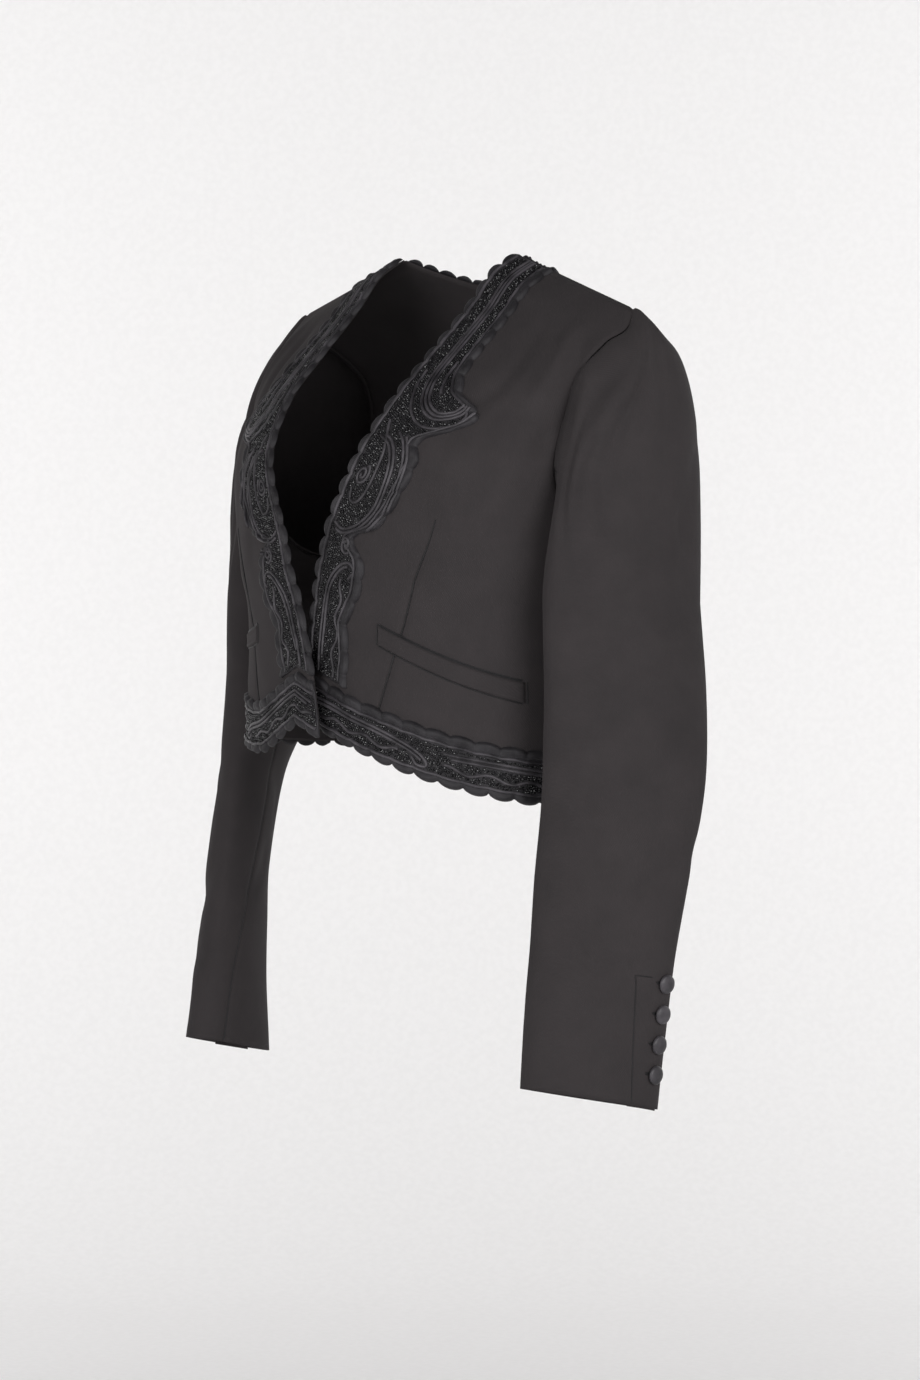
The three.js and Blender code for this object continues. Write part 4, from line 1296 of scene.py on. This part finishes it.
class JACKET_OT_border(bpy.types.Operator):
    """Builds the padded border with its cords and beads"""
    bl_idname = "jacket.border"
    bl_label = "Border"

    def execute(self, context):
        radius = context.scene.jacket_sizes.cord_radius / MM
        cord = material_for("black_rayon_cord")
        glass = material_for("jet_glass_bead")
        bands = [(front_band(1), front_cords, 11), (front_band(-1), front_cords, 12),
                 (front_hem_band(1), hem_cords, 13), (front_hem_band(-1), hem_cords, 14),
                 (back_hem_band(), hem_cords, 15), (back_neck_band(), neck_back_cords, 16)]
        for band, lines, seed in bands:
            cords = lines(band)
            ground = ground_piece(band)
            on_it = [cord_piece(band.name + "_cord", band, cords, radius, cord),
                     bead_piece(band.name + "_beads", band, cords, glass, seed)]
        return {"FINISHED"}


class JACKET_OT_pockets(bpy.types.Operator):
    """Builds the pocket welts"""
    bl_idname = "jacket.pockets"
    bl_label = "Pocket welts"

    def execute(self, context):
        for side in (1, -1):
            welt_pieces(side)
        return {"FINISHED"}


class JACKET_OT_vents(bpy.types.Operator):
    """Builds the closed cuff vents"""
    bl_idname = "jacket.vents"
    bl_label = "Cuff vents"

    def execute(self, context):
        for side in (1, -1):
            vent_pieces(side)
        return {"FINISHED"}


class JACKET_OT_buttons(bpy.types.Operator):
    """Builds the covered cuff buttons and their buttonholes"""
    bl_idname = "jacket.buttons"
    bl_label = "Cuff buttons"

    def execute(self, context):
        for side in (1, -1):
            for number in range(1, BUTTON_COUNT + 1):
                button_pieces(side, number)
        return {"FINISHED"}


def plain_material(name, color, roughness, light="#F6F5F5"):
    """Seamless paper or paint: matt and even, with the least of grain."""
    material, tree = new_material(name)
    grain = add_node(tree, "ShaderNodeTexNoise", None, {"Vector": object_coords(tree), "Scale": 90.0})
    shader = add_node(tree, "ShaderNodeBsdfPrincipled", None, {
        "Base Color": two_tone(tree, grain.outputs["Fac"], color, light), "Roughness": roughness})
    finish_material(tree, shader)
    return material


VIEW_TURN = math.radians(52)
CAMERA_HEIGHT = -0.36
CAMERA_SIDEWAYS = 0.00424
LENS_MM = 101.6
FLOOR_Z = -1.42
CEILING_Z = 1.35


def soft_light(name, place, target, size, power):
    data = bpy.data.lights.new(name, "AREA")
    data.shape = "RECTANGLE"
    data.size, data.size_y = size
    data.energy = power
    obj = bpy.data.objects.new(name, data)
    obj.location = place
    aim = Vector(target) - Vector(place)
    obj.rotation_euler = aim.to_track_quat("-Z", "Y").to_euler()
    obj.visible_camera = False
    bpy.context.scene.collection.objects.link(obj)


class JACKET_OT_stage(bpy.types.Operator):
    """Builds the pale floor with its cove, the lights and the camera"""
    bl_idname = "jacket.stage"
    bl_label = "Stage"

    def execute(self, context):
        sizes = context.scene.jacket_sizes
        towards = Vector((math.sin(VIEW_TURN), -math.cos(VIEW_TURN), 0))
        across = Vector((math.cos(VIEW_TURN), math.sin(VIEW_TURN), 0))
        up = Vector((0, 0, 1))
        wall = sizes.fill_distance
        bend = 0.9
        run = [(-6.0, 0.0)]
        run += [(wall - bend + bend * math.sin(a), bend - bend * math.cos(a))
                for a in np.linspace(0, math.pi / 2, 24)]
        run += [(wall, 6.0)]
        vertices = []
        for depth, height in run:
            for reach in (-7.0, 7.0):
                vertices.append(-towards * depth + across * reach + up * (FLOOR_Z + height))
        faces = [(2 * i, 2 * i + 1, 2 * i + 3, 2 * i + 2) for i in range(len(run) - 1)]
        mesh = bpy.data.meshes.new("paper_cove")
        mesh.from_pydata([tuple(p) for p in vertices], [], faces)
        mesh.shade_smooth()
        mesh.materials.append(plain_material("white_seamless_paper", "#F3F2F2", 0.95))
        cove = bpy.data.objects.new("paper_cove", mesh)
        context.scene.collection.objects.link(cove)

        middle = Vector((0, 0, -0.33))
        soft_light("key_softbox", towards * 2.6 + across * 1.5 + up * 0.1, middle, (1.6, 1.6), 45)
        soft_light("fill_softbox", towards * 2.4 - across * 2.0 + up * 0.2, middle, (1.8, 2.2), 42)
        for side in (-1, 1):
            spot = -towards * (wall - 1.9) + across * side * 1.9 + up * 0.1
            soft_light(f"backdrop_light_{'right' if side > 0 else 'left'}", spot,
                       spot - towards * 2.0 - across * side * 1.1, (0.5, 2.4), 15)
        ceiling = bpy.data.meshes.new("grey_ceiling")
        corners = ((-2.0, -3.5), (2.2, -3.5), (2.2, 3.5), (-2.0, 3.5))
        corners = [tuple(towards * a + across * b + up * CEILING_Z) for a, b in corners]
        ceiling.from_pydata(corners, [], [(0, 1, 2, 3)])
        ceiling.materials.append(plain_material("grey_painted_ceiling", "#4A4A4A", 0.9, "#505050"))
        roof = bpy.data.objects.new("grey_ceiling", ceiling)
        roof.visible_camera = False
        context.scene.collection.objects.link(roof)
        soft_light("edge_softbox", -towards * 1.2 + across * 2.2 + up * 0.6, middle, (0.9, 2.0), 7)
        world = bpy.data.worlds.new("studio_air")
        world.use_nodes = True
        world.node_tree.nodes["Background"].inputs["Color"].default_value = (1.0, 0.995, 0.99, 1.0)
        world.node_tree.nodes["Background"].inputs["Strength"].default_value = 0.6
        context.scene.world = world

        data = bpy.data.cameras.new("photo_camera")
        data.lens = LENS_MM
        data.sensor_width = 36.0
        data.clip_end = 60.0
        camera = bpy.data.objects.new("photo_camera", data)
        camera.location = towards * sizes.camera_distance + across * CAMERA_SIDEWAYS + up * CAMERA_HEIGHT
        camera.rotation_euler = (math.pi / 2, 0, VIEW_TURN)
        context.scene.collection.objects.link(camera)
        context.scene.camera = camera
        context.scene.view_settings.view_transform = "Standard"
        return {"FINISHED"}


OPERATORS = (JACKET_OT_back, JACKET_OT_fronts, JACKET_OT_sleeves, JACKET_OT_border, JACKET_OT_pockets,
             JACKET_OT_vents, JACKET_OT_buttons, JACKET_OT_stage)


class JACKET_PT_panel(bpy.types.Panel):
    """Lists the jacket's pieces, sizes and colours"""
    bl_idname = "JACKET_PT_panel"
    bl_label = "Jacket"
    bl_space_type = "VIEW_3D"
    bl_region_type = "UI"
    bl_category = "Jacket"

    def draw(self, context):
        for group in (context.scene.jacket_sizes, context.scene.jacket_colors):
            column = self.layout.column()
            for name in group.bl_rna.properties.keys():
                if name not in ("rna_type", "name"):
                    column.prop(group, name)
        for operator in OPERATORS:
            self.layout.operator(operator.bl_idname)


CLASSES = (JacketColors, JacketSizes, *OPERATORS, JACKET_PT_panel)


def register():
    for cls in CLASSES:
        bpy.utils.register_class(cls)
    bpy.types.Scene.jacket_colors = bpy.props.PointerProperty(type=JacketColors)
    bpy.types.Scene.jacket_sizes = bpy.props.PointerProperty(type=JacketSizes)


def unregister():
    del bpy.types.Scene.jacket_sizes
    del bpy.types.Scene.jacket_colors
    for cls in reversed(CLASSES):
        bpy.utils.unregister_class(cls)


def main():
    register()
    for operator in OPERATORS:
        group, name = operator.bl_idname.split(".")
        getattr(getattr(bpy.ops, group), name)()


if __name__ == "__main__":
    main()
